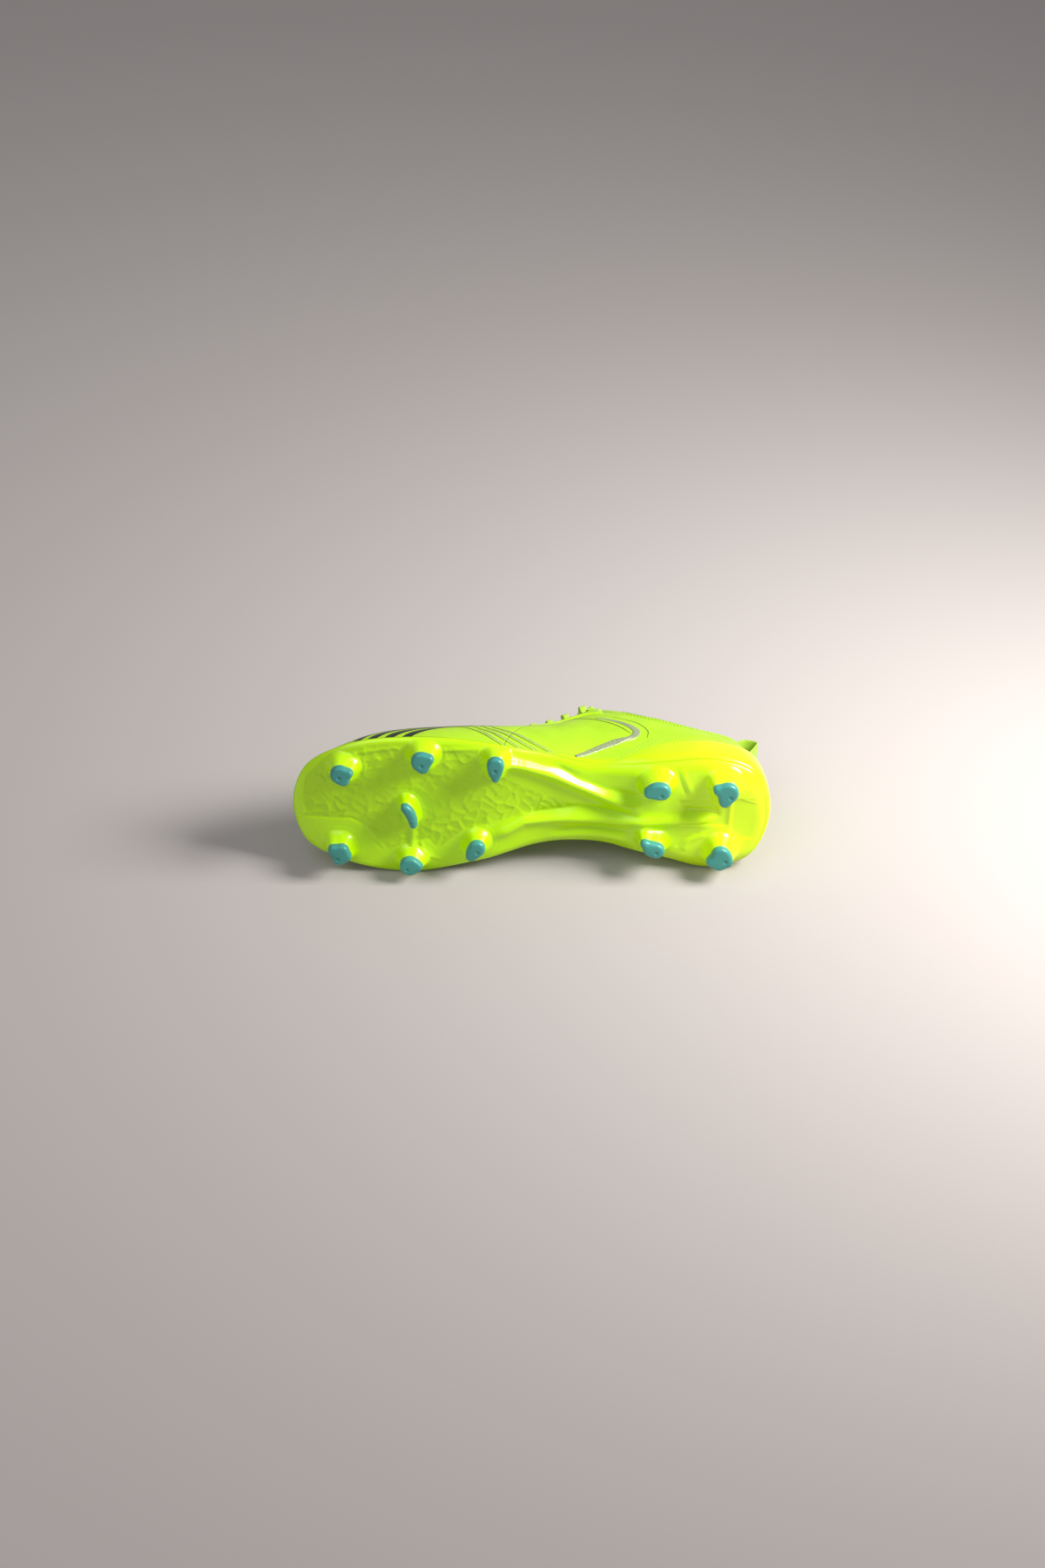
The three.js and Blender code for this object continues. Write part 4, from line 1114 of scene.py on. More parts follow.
@dataclass(frozen=True)
class Outsole:
    """The moulded plate: underside relief, side wall, stud bases and the tips let into them."""

    rows: int = 450
    across: int = 134
    turn: tuple[float, float] = (4.2, 9.4)
    turn_height: tuple[float, float] = (4.0, 9.0)
    wall_foot: float = 2.7
    tip_top: float = 4.3
    base_reach: float = 5.0
    crinkle: Crinkle = Crinkle()

    def field(self, x: Array, y: Array) -> Array:
        """Share of the sunk, matt forefoot field at points of the plan."""
        outer_y = (-137, -135, -120, -100, -75, -50, -30, -14, 5, 27)
        outer_x = (2, 14, 33, 41, 42, 39, 29, 16, 6, -1)
        inner_y = (-137, -135, -108, -98, -90, -86, -75, -62, -55, -41, -14, 5, 27)
        inner_x = (-5, -13, -12, -18, -28, -33, -28, -25, -31, -17, -9, -6, -1)
        high, low = np.interp(y, outer_y, outer_x), np.interp(y, inner_y, inner_x)
        inside = smooth(-1.2, 1.2, x - low) * smooth(-1.5, 1.5, high - x)
        return inside * smooth(-138, -135.5, y) * (1 - smooth(25, 28, y))

    def mark(self, x: Array, y: Array) -> Array:
        """The field, with the studs' flanks left out of it."""
        out = self.field(x, y)
        for stud in STUDS:
            out = out * smooth(2.0, 6.0, stud.distance(x, y))
        return out

    def relief(self, x: Array, y: Array) -> Array:
        """How far the underside stands out of its plain form."""
        zone = self.field(x, y)
        out = sum(crest.lift(x, y) for crest in CRESTS)
        for stud in STUDS:
            d = np.maximum(stud.distance(x, y), 0)
            rear = stud.along > 0.2
            if stud.name != "centre":
                out = out + (2.2 if rear else 1.6) * np.exp(-((d / 4.8) ** 2))
            if not rear:
                out = out + 0.16 * np.exp(-(((d - 6.4) / 0.55) ** 2))
                out = out + 0.12 * np.exp(-(((d - 8.8) / 0.55) ** 2))
                zone = zone * smooth(3.0, 5.0, d)
        out = out - 0.4 * zone + self.crinkle.lift(x, y) * zone
        out = out + 1.0 * np.exp(-(((x - 2.7) ** 2 + (y - 76) ** 2) / 81))
        plateau = smooth(-1, 1, 8 - np.abs(x + 1.5)) * smooth(86, 90, y) * (1 - smooth(116, 119, y))
        rear_flat = smooth(-1, 1, 13.5 - np.abs(x + 4.5)) * smooth(119, 121, y) * (1 - smooth(135, 138, y))
        soft = 0.22 * np.sin(x / 7 + y / 19) * smooth(-20, 10, y)
        return out - 0.9 * plateau - 0.7 * rear_flat + soft

    def edge_turn(self, y: Array) -> tuple[Array, Array]:
        """Width and height of the rounding from the underside into the side wall, rounder toward the heel."""
        share = smooth(-30, 50, y)
        return mix(*self.turn, share), mix(*self.turn_height, share)

    def wall_inset(self, y: Array, rise: Array | float) -> Array:
        """How far the side wall still lies inside the sole's edge at a rise above the underside."""
        across, up = self.edge_turn(y)
        share = np.clip(1 - rise / up, 0, 1)
        return across * (1 - np.sqrt(1 - share**2))

    def surface(self, x: Array, y: Array, inset: Array) -> Array:
        """Height of the underside at points that lie inset from the sole's edge."""
        across, up = self.edge_turn(y)
        share = np.clip(1 - inset / across, 0, 1)
        turned = up * (1 - np.sqrt(np.maximum(0, 1 - share**2)))
        plain = LAST.bottom(y) + turned + 0.3 * (1 - smooth(2, 12, inset))
        return plain - self.relief(x, y) * smooth(across * 0.35, across + 3.5, inset)

    def plate(self) -> bpy.types.Object:
        """The plate with its side wall, as rows across the boot from toe to heel."""
        s = np.linspace(0, 10, self.rows + 1)[:, None]
        side = {1: s, -1: 20 - s}
        columns: list[Array] = []
        ends = {
            k: LAST.edge(v, self.wall_inset(LAST.value(v)[..., 1], self.wall_foot)) for k, v in side.items()
        }
        share = np.linspace(0, 1, self.across)[None, :]
        share = mix(share, (1 - np.cos(np.pi * share)) / 2, 0.45)
        x = mix(ends[-1][0], ends[1][0], share)
        y = mix(ends[-1][1], ends[1][1], share)
        start = self.wall_inset(y, self.wall_foot)
        inset = np.maximum(self.inset_of(x, y), start)
        bottom = np.stack([x, y, self.surface(x, y, inset)], -1)
        columns.append(bottom)
        marks = [self.mark(x, y) * smooth(0.8, 3, inset)]
        columns += self.wall(side[1])
        inner = [c[:, ::-1] for c in reversed(self.wall(side[-1]))]
        floor_share = np.linspace(1, 0, 24)[None, :]
        fl = {k: LAST.edge(v, LAST.plate_wall + 0.05) for k, v in side.items()}
        fx, fy = mix(fl[-1][0], fl[1][0], floor_share), mix(fl[-1][1], fl[1][1], floor_share)
        columns.append(np.stack([fx, fy, LAST.bottom(fy) + LAST.plate_floor], -1))
        columns += inner
        grid = np.concatenate(columns, 1)
        values = np.zeros(grid.shape[:2])
        values[:, : self.across] = marks[0]
        obj = make_piece(
            "outsole_plate_moulded", grid.reshape(-1, 3), quads(
                *grid.shape[:2], close_j=True
            ), WEAR[Finishes.SOLE],
            marks={"field": values}, merge=0.02,
        )
        return obj

    def wall(self, s: Array) -> list[Array]:
        """Columns up the outside of one side, over the rim and down inside.

        Args:
            s: stations, one per row.

        Returns:
            Grids of points, in order from the underside inward.
        """
        rim = LAST.rim(s)
        k = rim * (np.linspace(0, 1, 22)[None, :] ** 0.8)
        y = LAST.value(s)[..., 1]
        foot = LAST.face(s, 0.0 * s)
        climb = self.wall_foot + np.linalg.norm(LAST.face(s, k) - foot, axis=-1)
        full = LAST.plate_wall + LAST.wall_clearance
        thin = smooth(
            0, 1, 1 - (rim - k) / np.minimum(0.075, rim)
        ) * (full - mix(1.15, 0.35, smooth(5.5, 7.5, s)))
        outer = LAST.point(s, k, -np.maximum(full - thin - self.wall_inset(y, climb), 0.25))
        lip = LAST.point(s, rim + np.array([[0.003, 0.003]]), np.array([[-0.95, -0.4]]))
        down = LAST.point(s, rim * np.linspace(1, 0.03, 6)[None, :], -0.15)
        return [outer, lip, down]

    def base(self, stud: Stud) -> bpy.types.Object:
        """Lime base that flares from under the tip into the plate."""
        rays, rings = 80, 17
        share = np.linspace(0, 1, rings)
        grid = [np.column_stack([stud.outline(-1.4, rays), np.full(rays, self.tip_top)])]
        reach = self.base_reach if stud.name != "centre" else 3.0
        marks = [np.zeros(rays)]
        for t in share:
            plan = stud.outline(0.18 + reach * t, rays)
            x, y = self.kept_inside(plan[:, 0], plan[:, 1])
            inset = self.inset_of(x, y)
            level = self.surface(x, y, inset) - 0.05 + 0.2 * t**6
            z = mix(self.tip_top, level, 1 - (1 - t) ** 2.3)
            grid.append(np.column_stack([x, y, z]))
            marks.append(self.mark(x, y))
        points = np.array(grid)
        faces = quads(*points.shape[:2], close_j=True, flip=True)
        return make_piece(f"base_{stud.name}", points.reshape(-1, 3), faces, WEAR[Finishes.SOLE],
                          marks={"field": np.array(marks)})

    def sides_at(self, y: Array) -> tuple[Array, Array]:
        """x of the sole's inner and outer edge at y."""
        s = np.linspace(0, 10, 400)
        ox, oy, _, _ = LAST.edge(s, 0)
        ix, iy, _, _ = LAST.edge(20 - s, 0)
        return np.interp(y, iy, ix), np.interp(y, oy, ox)

    def kept_inside(self, x: Array, y: Array) -> tuple[Array, Array]:
        """Points of the plan, held 1.2 mm inside the sole's edge."""
        low, high = self.sides_at(y)
        return np.clip(x, low + 1.2, high - 1.2), y

    @cached_property
    def outline_tree(self) -> KDTree:
        """The sole's edge as closely spaced points of the plan."""
        x, y, _, _ = LAST.edge(np.linspace(0, 20, 3000), 0)
        tree = KDTree(len(x))
        for i, point in enumerate(np.column_stack([x, y, 0 * x])):
            tree.insert(point, i)
        tree.balance()
        return tree

    def inset_of(self, x: Array, y: Array) -> Array:
        """Distance of points of the plan from the sole's edge."""
        flat = np.column_stack([np.ravel(x), np.ravel(y), 0 * np.ravel(x)])
        return np.array([self.outline_tree.find(point)[2] for point in flat]).reshape(np.shape(x))

    def tip(self, stud: Stud) -> bpy.types.Object:
        """Teal tip: flat face with a bevelled edge and the dimple of the mould's gate."""
        rays = 80
        middle = stud.place() + np.array(stud.dimple or (0, 0))
        face = stud.outline(-1.55, rays)
        grid = []
        for t in (0.0, 0.07, 0.13, 0.18, 0.23, 0.28, 0.34, 0.42, 0.55, 0.7, 0.85, 1.0):
            plan = middle + (face - middle) * t
            r = np.hypot(*(plan - middle).T)
            dent = 0.55 * (1 - smooth(0.75, 1.45, r)) if stud.dimple else 0.0 * r
            crown = 0.12 * t**3
            grid.append(np.column_stack([plan, dent + crown]))
        for growth, z in (
            (-1.15, 0.24), (-0.75, 0.5), (-0.42, 0.85), (-0.18, 1.3), (-0.03, 1.9), (0.05, 2.7), (0.05, 3.6),
            (0.05, 4.3)
        ):
            grid.append(np.column_stack([stud.outline(growth, rays), np.full(rays, z)]))
        grid.append(np.column_stack([stud.outline(-1.5, rays), np.full(rays, 4.36)]))
        points = np.array(grid)
        faces = quads(*points.shape[:2], close_j=True, flip=True)
        obj = make_piece(
            f"tip_{stud.name}", points.reshape(-1, 3), faces, WEAR[Finishes.TIP], merge=0.004
        )
        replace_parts(obj, f"stud_tip_{stud.name}")
        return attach(obj, BOOT)

    def build(self) -> None:
        """Makes the plate, bases and tips."""
        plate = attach(self.plate(), BOOT)
        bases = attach(join("stud_bases_moulded", [self.base(stud) for stud in STUDS]), BOOT)
        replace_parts(plate, "outsole_plate")
        for stud in STUDS:
            self.tip(stud)


# ---------------------------------------------------------------- upper


class Side(Enum):
    """The boot's two sides."""

    OUTER = 1
    INNER = -1

    def station(self, s: Array | float) -> Array | float:
        """Station on this side that mirrors an outer station."""
        return s if self is Side.OUTER else 20 - s


def skin_grid(s: Array, k: Array, depth: float | Array | Callable[[Array, Array], Array]) -> Array:
    """Grid of points over stations and rises at a depth."""
    ss, kk = np.meshgrid(s, k, indexing="ij")
    return LAST.point(ss, kk, depth(ss, kk) if callable(depth) else depth)


def surface_lines(path: Array) -> tuple[Array, Array]:
    """Per mm steps in station and rise that lead across a path on the upper.

    Args:
        path: n x 2 stations and rises.

    Returns:
        Station and rise per mm to the path's left.
    """
    s, k = path[:, 0], path[:, 1]
    e = 0.01
    ps = (LAST.face(s + e, k) - LAST.face(s - e, k)) / (2 * e)
    pk = (LAST.face(s, k + e) - LAST.face(s, k - e)) / (2 * e)
    way = np.gradient(path, axis=0)
    tangent = unit(ps * way[:, :1] + pk * way[:, 1:])
    across = np.cross(unit(np.cross(ps, pk)), tangent)
    a, b, c = (ps * ps).sum(1), (ps * pk).sum(1), (pk * pk).sum(1)
    u, v = (ps * across).sum(1), (pk * across).sum(1)
    det = a * c - b * b
    return (c * u - b * v) / det, (a * v - b * u) / det


def film(
    name: str, path: Sequence[Sequence[float]], half: Sequence[float], which: Finishes,
    lift: float = 0.2, under: float = 0.3, base: float = 0.0,
) -> bpy.types.Object:
    """Bonded film along a path on the upper, with soft edges.

    Args:
        name: the piece's name.
        path: stations and rises that it runs through.
        half: its half width in mm at even steps along the path.
        which: its finish.
        lift: its thickness above the face.
        under: how far its underside lies in the face.
        base: height of the face it is bonded to.

    Returns:
        The piece.
    """
    line = smooth_path(path, 16)
    run = np.linspace(0, 1, len(line))
    w = np.interp(run, np.linspace(0, 1, len(half)), half)
    ds, dk = surface_lines(line)
    u = np.array([-1, -0.93, -0.7, 0, 0.7, 0.93, 1])
    dome = np.array([-0.15, 0.7, 1, 1.05, 1, 0.7, -0.15])
    s = line[:, :1] + ds[:, None] * u * w[:, None]
    k = line[:, 1:] + dk[:, None] * u * w[:, None]
    s, k = s[:, ::-1], k[:, ::-1]
    top = LAST.point(s, k, -(base + lift * dome[None, ::-1]))
    low = LAST.point(s, k, under - base)
    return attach(slab_piece(name, top, low, WEAR[which]), BOOT)


def surface_path(path: Sequence[Sequence[float]], depth: float = -0.12, pitch: float = 1.0) -> Array:
    """Smooth line on the upper through stations and rises, at even steps in mm."""
    line = smooth_path(path, 24)
    return even_path(LAST.point(line[:, 0], line[:, 1], depth), pitch)


@dataclass(frozen=True)
class Upper:
    """Skins, overlays, prints and stitching of the upper."""

    arcs: int = 4
    vamp_end: float = 4.4
    quarter_end: float = 8.3
    eyelets: int = 6
    eyelet: float = 4.4
    eyelet_rise: float = 0.93
    eyelet_span: tuple[float, float] = (-0.068, 0.108)

    def eyelet_station(self, side: int, index: int) -> float:
        """Station of an eyelet, counted from the toe."""
        y = LAST.length * mix(*self.eyelet_span, index / (self.eyelets - 1))
        s = LAST.station_at(1, y, column=3)
        return s if side > 0 else 20 - s

    def holes(self) -> bpy.types.Object:
        """Cylinders through every eyelet."""
        parts = []
        for side in Side:
            for i in range(self.eyelets):
                s = self.eyelet_station(side.value, i)
                n = LAST.normal(np.array(s), np.array(self.eyelet_rise))
                middle = LAST.face(np.array(s), np.array(self.eyelet_rise))
                parts.append(self.cylinder(middle, n, self.eyelet / 2, 7))
        return join("eyelet_cutter", parts)

    @staticmethod
    def cylinder(middle: Array, axis: Array, radius: float, half: float) -> bpy.types.Object:
        """Plain closed cylinder for cutting."""
        bpy.ops.mesh.primitive_cylinder_add(vertices=28, radius=radius * MM, depth=2 * half * MM)
        obj = bpy.context.view_layer.objects.active
        turn = Vector((0, 0, 1)).rotation_difference(Vector(axis)).to_matrix().to_4x4()
        obj.data.transform(Matrix.Translation(Vector((middle + SHIFT) * MM)) @ turn)
        obj.matrix_world = Matrix.Identity(4)
        return obj

    @staticmethod
    def punch(obj: bpy.types.Object, cutter: bpy.types.Object) -> None:
        """Cuts the eyelet holes out of a skin."""
        modifier = obj.modifiers.new("holes", "BOOLEAN")
        modifier.operation = "DIFFERENCE"
        modifier.object = cutter
        modifier.solver = "EXACT"
        graph = bpy.context.evaluated_depsgraph_get()
        mesh = bpy.data.meshes.new_from_object(obj.evaluated_get(graph))
        obj.modifiers.clear()
        obj.data = mesh

    def skins(self, cutter: bpy.types.Object) -> None:
        """Vamp, quarters, heel panel and eyestays."""
        v, q = self.vamp_end, self.quarter_end
        spans = {
            "vamp": (-v, v), "quarter_lateral": (v, q), "quarter_medial": (20 - q, 20 - v), "heel_panel": (q, 20 - q),
        }
        k = np.linspace(0, 1, 96)
        for node, (start, end) in spans.items():
            s = np.linspace(start, end, int((end - start) / 0.035))
            obj = slab_piece(
                f"{node}_skin", skin_grid(s, k, 0.0), skin_grid(s, k, LAST.shell), WEAR[Finishes.UPPER]
            )
            if node != "heel_panel":
                self.punch(obj, cutter)
            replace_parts(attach(obj, BOOT), node)
        k = np.linspace(0.84, 0.992, 22)
        for side, node in ((Side.OUTER, "eyestay_lateral"), (Side.INNER, "eyestay_medial")):
            s = np.sort(side.station(np.linspace(1.2, 6.1, 150)))
            top = -(LAST.gap + LAST.overlay)
            obj = slab_piece(
                f"{node}_overlay", skin_grid(s, k, self.overlay_depth(s, top)), skin_grid(s, k, 0.1),
                WEAR[Finishes.OVERLAY],
            )
            self.punch(obj, cutter)
            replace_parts(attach(obj, BOOT), node)

    @staticmethod
    def overlay_depth(stations: Array, top: float) -> Callable[[Array, Array], Array]:
        """Depth of an overlay that thins out toward its edges."""
        low, high = stations.min(), stations.max()

        def depth(s: Array, k: Array) -> Array:
            """Thins the overlay over its last millimetre."""
            edge = smooth(0, 0.05, s - low) * smooth(0, 0.05, high - s) * smooth(0, 0.014, k - 0.84)
            return top * (0.3 + 0.7 * edge)

        return depth

    def stripes(self, side: Side) -> None:
        """Four nested printed arcs that swing up from the sole, over a crest and back down."""
        first = (
            (2.1, 0), (2.15, 0.12), (2.2, 0.25), (2.45, 0.42), (2.9, 0.55),
            (3.4, 0.58), (3.75, 0.52), (4, 0.42), (4.5, 0.3), (5.2, 0.04),
        )
        last = (
            (2.9, 0.05), (2.95, 0.17), (3.05, 0.3), (3.2, 0.37), (3.3, 0.39),
            (3.45, 0.385), (3.55, 0.36), (3.7, 0.32), (3.95, 0.24), (4.4, 0.06),
        )
        half = (2.5, 2.4, 1.8, 0.9, 0.6, 0.42, 0.36, 0.36, 0.36, 0.2)
        for number, share in enumerate(np.linspace(0, 1, self.arcs)):
            path = mix(np.array(first), np.array(last), share)
            line = [(side.station(s), k) for s, k in path]
            name = f"{number}_{side.name.lower()}"
            film(f"print_arc_{name}", line, half, Finishes.INK, lift=0.14)
            glint = [(side.station(s + 0.07), k + 0.004) for s, k in path[7:]]
            film(f"print_glint_{name}", glint, (0.1, 0.7, 0.3), Finishes.SILVER, lift=0.12)

    def bands(self, side: Side, node: str) -> None:
        """The silver band with its elbow, its beaded lower arm and the thin printed outlines."""
        name = side.name.lower()
        path = ((5.95, 0.72), (6.45, 0.67), (6.65, 0.56), (6.55, 0.43), (6.25, 0.32), (5.6, 0.06))
        line = [(side.station(s), k) for s, k in path]
        half = (0.2, 1.7, 2.4, 2.3, 2.1, 1.0)
        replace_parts(film(f"side_band_{name}", line, half, Finishes.SILVER_PLAIN, lift=0.4), node)
        film(
            f"side_band_beads_{name}", line[3:], (0.8, 2.9, 1.4), Finishes.SILVER,
            lift=0.25, base=0.35,
        )
        outlines = (
            (((5.1, 0.85), (5.7, 0.73), (6.3, 0.62), (6.55, 0.5)), Finishes.INK),
            (((6.3, 0.78), (6.7, 0.74), (6.85, 0.6), (6.8, 0.45)), Finishes.LINE),
            (((5.45, 0.9), (5.9, 0.91), (6.3, 0.93)), Finishes.LINE),
        )
        for number, (path, which) in enumerate(outlines):
            line = [(side.station(s), k) for s, k in path]
            film(f"outline_{number}_{name}", line, (0.2, 0.36, 0.36, 0.2), which, lift=0.1)

    def low_lines(self, side: Side) -> None:
        """Thin silver outlines low on the quarter, beside the waist of the sole."""
        name = side.name.lower()
        for number, low in enumerate((0.0, 0.055, 0.11)):
            path = ((5.1 + low, 0.05 + low), (5.6, 0.10 + low), (6.1, 0.13 + low))
            line = [(side.station(s), k) for s, k in path]
            film(
                f"low_line_{number}_{name}", line, (0.15, 0.4, 0.4, 0.15), Finishes.SILVER_PLAIN,
                lift=0.1
            )

    def stitching(self) -> None:
        """Stitch rows along the seams and edges, and needle dots on the quarters."""
        rows, dots = [], []
        for side in Side:
            at = side.station
            seam = ((6.35, 0.14), (6.7, 0.33), (7.2, 0.52), (8.2, 0.7), (8.75, 0.86))
            collar = ((5.6, 0.87), (6.6, 0.92), (7.7, 0.89), (9, 0.87))
            for shift in (0.0, 0.034):
                rows.append(surface_path([(at(s + shift), k - 1.2 * shift) for s, k in seam]))
            rows.append(surface_path([(at(s), 0.855) for s in np.linspace(1.35, 5.95, 9)], -1.15))
            dots.append(surface_path([(at(s), k) for s, k in collar]))
            for i in range(self.eyelets):
                s = self.eyelet_station(side.value, i)
                dots.append(self.ring(s, self.eyelet / 2 + 0.75, -1.28))
            rows.append(surface_path([(at(s), 0.965) for s in np.linspace(6.6, 9.6, 9)]))
        STITCH.along("seam_stitches", rows, Finishes.THREAD, "overlay", BOOT)
        # needle dots in the darker thread: painted shade of the needle holes
        DOTS.along("needle_dots", dots, Finishes.THREAD_HOLE_SHADE, "overlay", BOOT)

    def ring(self, s: float, radius: float, depth: float) -> Array:
        """Circle on the upper round an eyelet."""
        middle = LAST.point(s, self.eyelet_rise, depth)
        n = LAST.normal(np.array(s), np.array(self.eyelet_rise))
        a = unit(np.cross(n, [0, 0, 1]))
        b = np.cross(n, a)
        turn = np.linspace(0, 2 * np.pi, 25)[:, None]
        return middle + radius * (np.cos(turn) * a + np.sin(turn) * b)

    def build(self) -> None:
        """Makes the whole upper."""
        cutter = self.holes()
        self.skins(cutter)
        bpy.data.objects.remove(cutter)
        for side, node in ((Side.OUTER, "side_band_lateral"), (Side.INNER, "side_band_medial")):
            self.stripes(side)
            self.bands(side, node)
            if side is Side.INNER:
                self.low_lines(side)
        self.stitching()


# ---------------------------------------------------------------- inside of the boot


@dataclass(frozen=True)
class Inside:
    """Lining, collar padding and foot bed."""

    collar_reach: float = 3.5
    board: float = 1.5
    sockliner: float = 3.2
    cup: float = 2.5

    def lining(self) -> None:
        """Knit lining, stepping softly round the stiffeners and the collar foam."""
        s = np.linspace(0, 20, 420, endpoint=False)
        k = np.linspace(0.01, 0.985, 60)
        depth = LAST.lining_depth
        outer = skin_grid(s, k, depth)
        inner = skin_grid(s, k, lambda a, b: depth(a, b) + LAST.lining)
        obj = slab_piece("lining_knit", outer, inner, WEAR[Finishes.KNIT], close=True)
        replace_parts(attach(obj, BOOT), "lining")

    def collar(self) -> None:
        """Foam inside the collar, and the soft roll that closes its edge."""
        s = np.linspace(10 - 3.6, 10 + 3.6, 150)
        k = np.linspace(0.6, 0.975, 34)
        def puff(_: Array, b: Array) -> Array:
            """Depth of the foam's inner face."""
            swell = np.sin(np.pi * np.clip((b - 0.6) / 0.375, 0, 1)) ** 0.35
            return LAST.shell + LAST.gap + 3.8 * swell

        obj = slab_piece(
            "collar_foam_pad", skin_grid(s, k, LAST.shell + LAST.gap), skin_grid(s, k, puff), WEAR[Finishes.STIFFENER]
        )
        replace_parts(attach(obj, BOOT), "collar_foam")
        s = np.linspace(10 - self.collar_reach, 10 + self.collar_reach, 260)
        ends = smooth(0, 0.5, s - s[0]) * smooth(0, 0.5, s[-1] - s)
        up = unit(LAST.face(s, np.ones_like(s)) - LAST.face(s, np.full_like(s, 0.97)))
        turn = np.linspace(0, np.pi, 15)
        reach = LAST.shell + LAST.foam + LAST.lining + 0.7
        grid = {}
        for key, height in (("top", 1.0), ("low", -0.25)):
            rows = []
            for a in turn:
                depth = reach / 2 - (reach / 2 + 0.25) * np.cos(a)
                lift = (2.5 * np.sin(a) ** 0.8 * (0.35 + 0.65 * ends)) * height
                rows.append(LAST.point(s, 1.0, depth) + up * lift[:, None])
            grid[key] = np.stack(rows, 1)
        obj = slab_piece(
            "collar_roll", grid["top"][:, ::-1], grid["low"][:, ::-1], WEAR[Finishes.KNIT]
        )
        make_normals_outward(obj)
        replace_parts(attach(obj, BOOT), "collar_binding")

    def bed_inset(self, s: Array) -> Array:
        """Distance of the foot bed's edge from the sole's widest line."""
        layers = LAST.shell + LAST.stiffener + LAST.lining + 3 * LAST.gap
        toe = np.minimum(s % 20, 20 - s % 20)
        return LAST.plate_wall + LAST.wall_clearance + layers + LAST.gap + 4 * (1 - smooth(1.5, 4, toe))

    def foot_bed(self) -> None:
        """Cupped sockliner."""
        s = np.linspace(0, 10, 160)[:, None]
        ox, oy, _, _ = LAST.edge(s, self.bed_inset(s))
        ix, iy, _, _ = LAST.edge(20 - s, self.bed_inset(s))
        t = np.linspace(0, 1, 44)[None, :]
        x, y = mix(ox, ix, t), mix(oy, iy, t)
        width = np.hypot(ox - ix, oy - iy)
        d = width * np.minimum(t, 1 - t)
        level = LAST.bottom(y) + LAST.plate_floor + LAST.gap + self.board + LAST.gap
        cup = self.cup * (1 - smooth(2, 4, 10 - s)) * (1 - smooth(0, 8, d))
        soft = 1 - 0.35 * np.exp(-((d / 1.2) ** 2))
        top = np.stack([x, y, level + (self.sockliner + cup) * soft], -1)
        low = np.stack([x, y, level + 0 * x], -1)
        obj = slab_piece("sockliner_cloth", top[:, ::-1], low[:, ::-1], WEAR[Finishes.SOCK])
        make_normals_outward(obj)
        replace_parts(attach(obj, BOOT), "sockliner")

    def build(self) -> None:
        """Makes the inside, and dresses the CAD pieces that stay in sight of nobody."""
        self.lining()
        self.collar()
        self.foot_bed()
        for node, which in (
            ("toe_puff", Finishes.STIFFENER), (
                "heel_counter", Finishes.STIFFENER
            ), ("insole_board", Finishes.BOARD),
        ):
            obj = frame["nodes"][node]
            obj.data.materials.clear()
            obj.data.materials.append(WEAR[which])


# ---------------------------------------------------------------- tongue, lacing and heel loop


@dataclass(frozen=True)
class Tongue:
    """Padded tongue that folds forward above the last eyelet."""

    front: float = -0.16
    top: float = 0.2
    bend: float = 0.13
    rise: float = 15
    half: float = 19
    sink: float = 3.2
    crown: float = 11
    thick: float = 3.0

    def throat_line(self, along: Array) -> Array:
        """Height of the throat's edge at shares of the length."""
        tops = np.array([(r[3], r[4]) for r in LAST.rows[:11]])
        rising = tops[: 7]
        y = along * LAST.length
        return np.where(
            y < rising[0, 0], rising[0, 1] + (y - rising[0, 0]) * 0.36,
            np.interp(y, rising[:, 0], rising[:, 1])
        )

    def point(self, along: Array, across: Array, depth: Array | float) -> Array:
        """Place on the tongue."""
        fold = np.minimum(along, self.bend)
        flap = np.maximum(0, (along - self.bend) / (self.top - self.bend))
        sink = self.sink + 7 * (1 - smooth(-0.12, 0, along))
        height = self.throat_line(fold) - sink + self.rise * flap
        half = self.half * (0.8 + 0.2 * smooth(self.front, -0.05, along) - 0.28 * smooth(0.02, 0.12, along))
        corner = 1 - 0.16 * smooth(0.19, 0.2, along) * np.abs(across)
        droop = self.crown * across**2 * (1 - 0.75 * smooth(0.04, 0.13, along))
        x = across * half * corner
        return np.stack([x, along * LAST.length - depth * 0.35, height - droop - depth], -1)

    def build(self) -> None:
        """Makes the tongue and its stitched edge."""
        along = np.linspace(self.front, self.top, 130)[:, None]
        across = np.linspace(-1, 1, 41)[None, :]
        edge = np.minimum(1 - np.abs(across), (self.top - along) * 15)
        swell = 1.0 * smooth(0, 0.35, edge) * smooth(0.0, 0.12, along)
        seam = 0.35 * np.exp(-(((edge - 0.17) / 0.04) ** 2))
        top = self.point(along, across, -(swell - seam))
        low = self.point(along, across, self.thick + 0.4 * swell)
        obj = slab_piece("tongue_padded", top[:, ::-1], low[:, ::-1], WEAR[Finishes.KNIT])
        make_normals_outward(obj)
        joint = frame["joints"][0]["pos_m"]
        reach = 6 * MM
        joint[0]
        joint[1] - reach
        joint[2]
        joint[0]
        joint[1] + reach
        joint[2]
        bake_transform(obj)
        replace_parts(obj, "tongue", "tongue_flap")


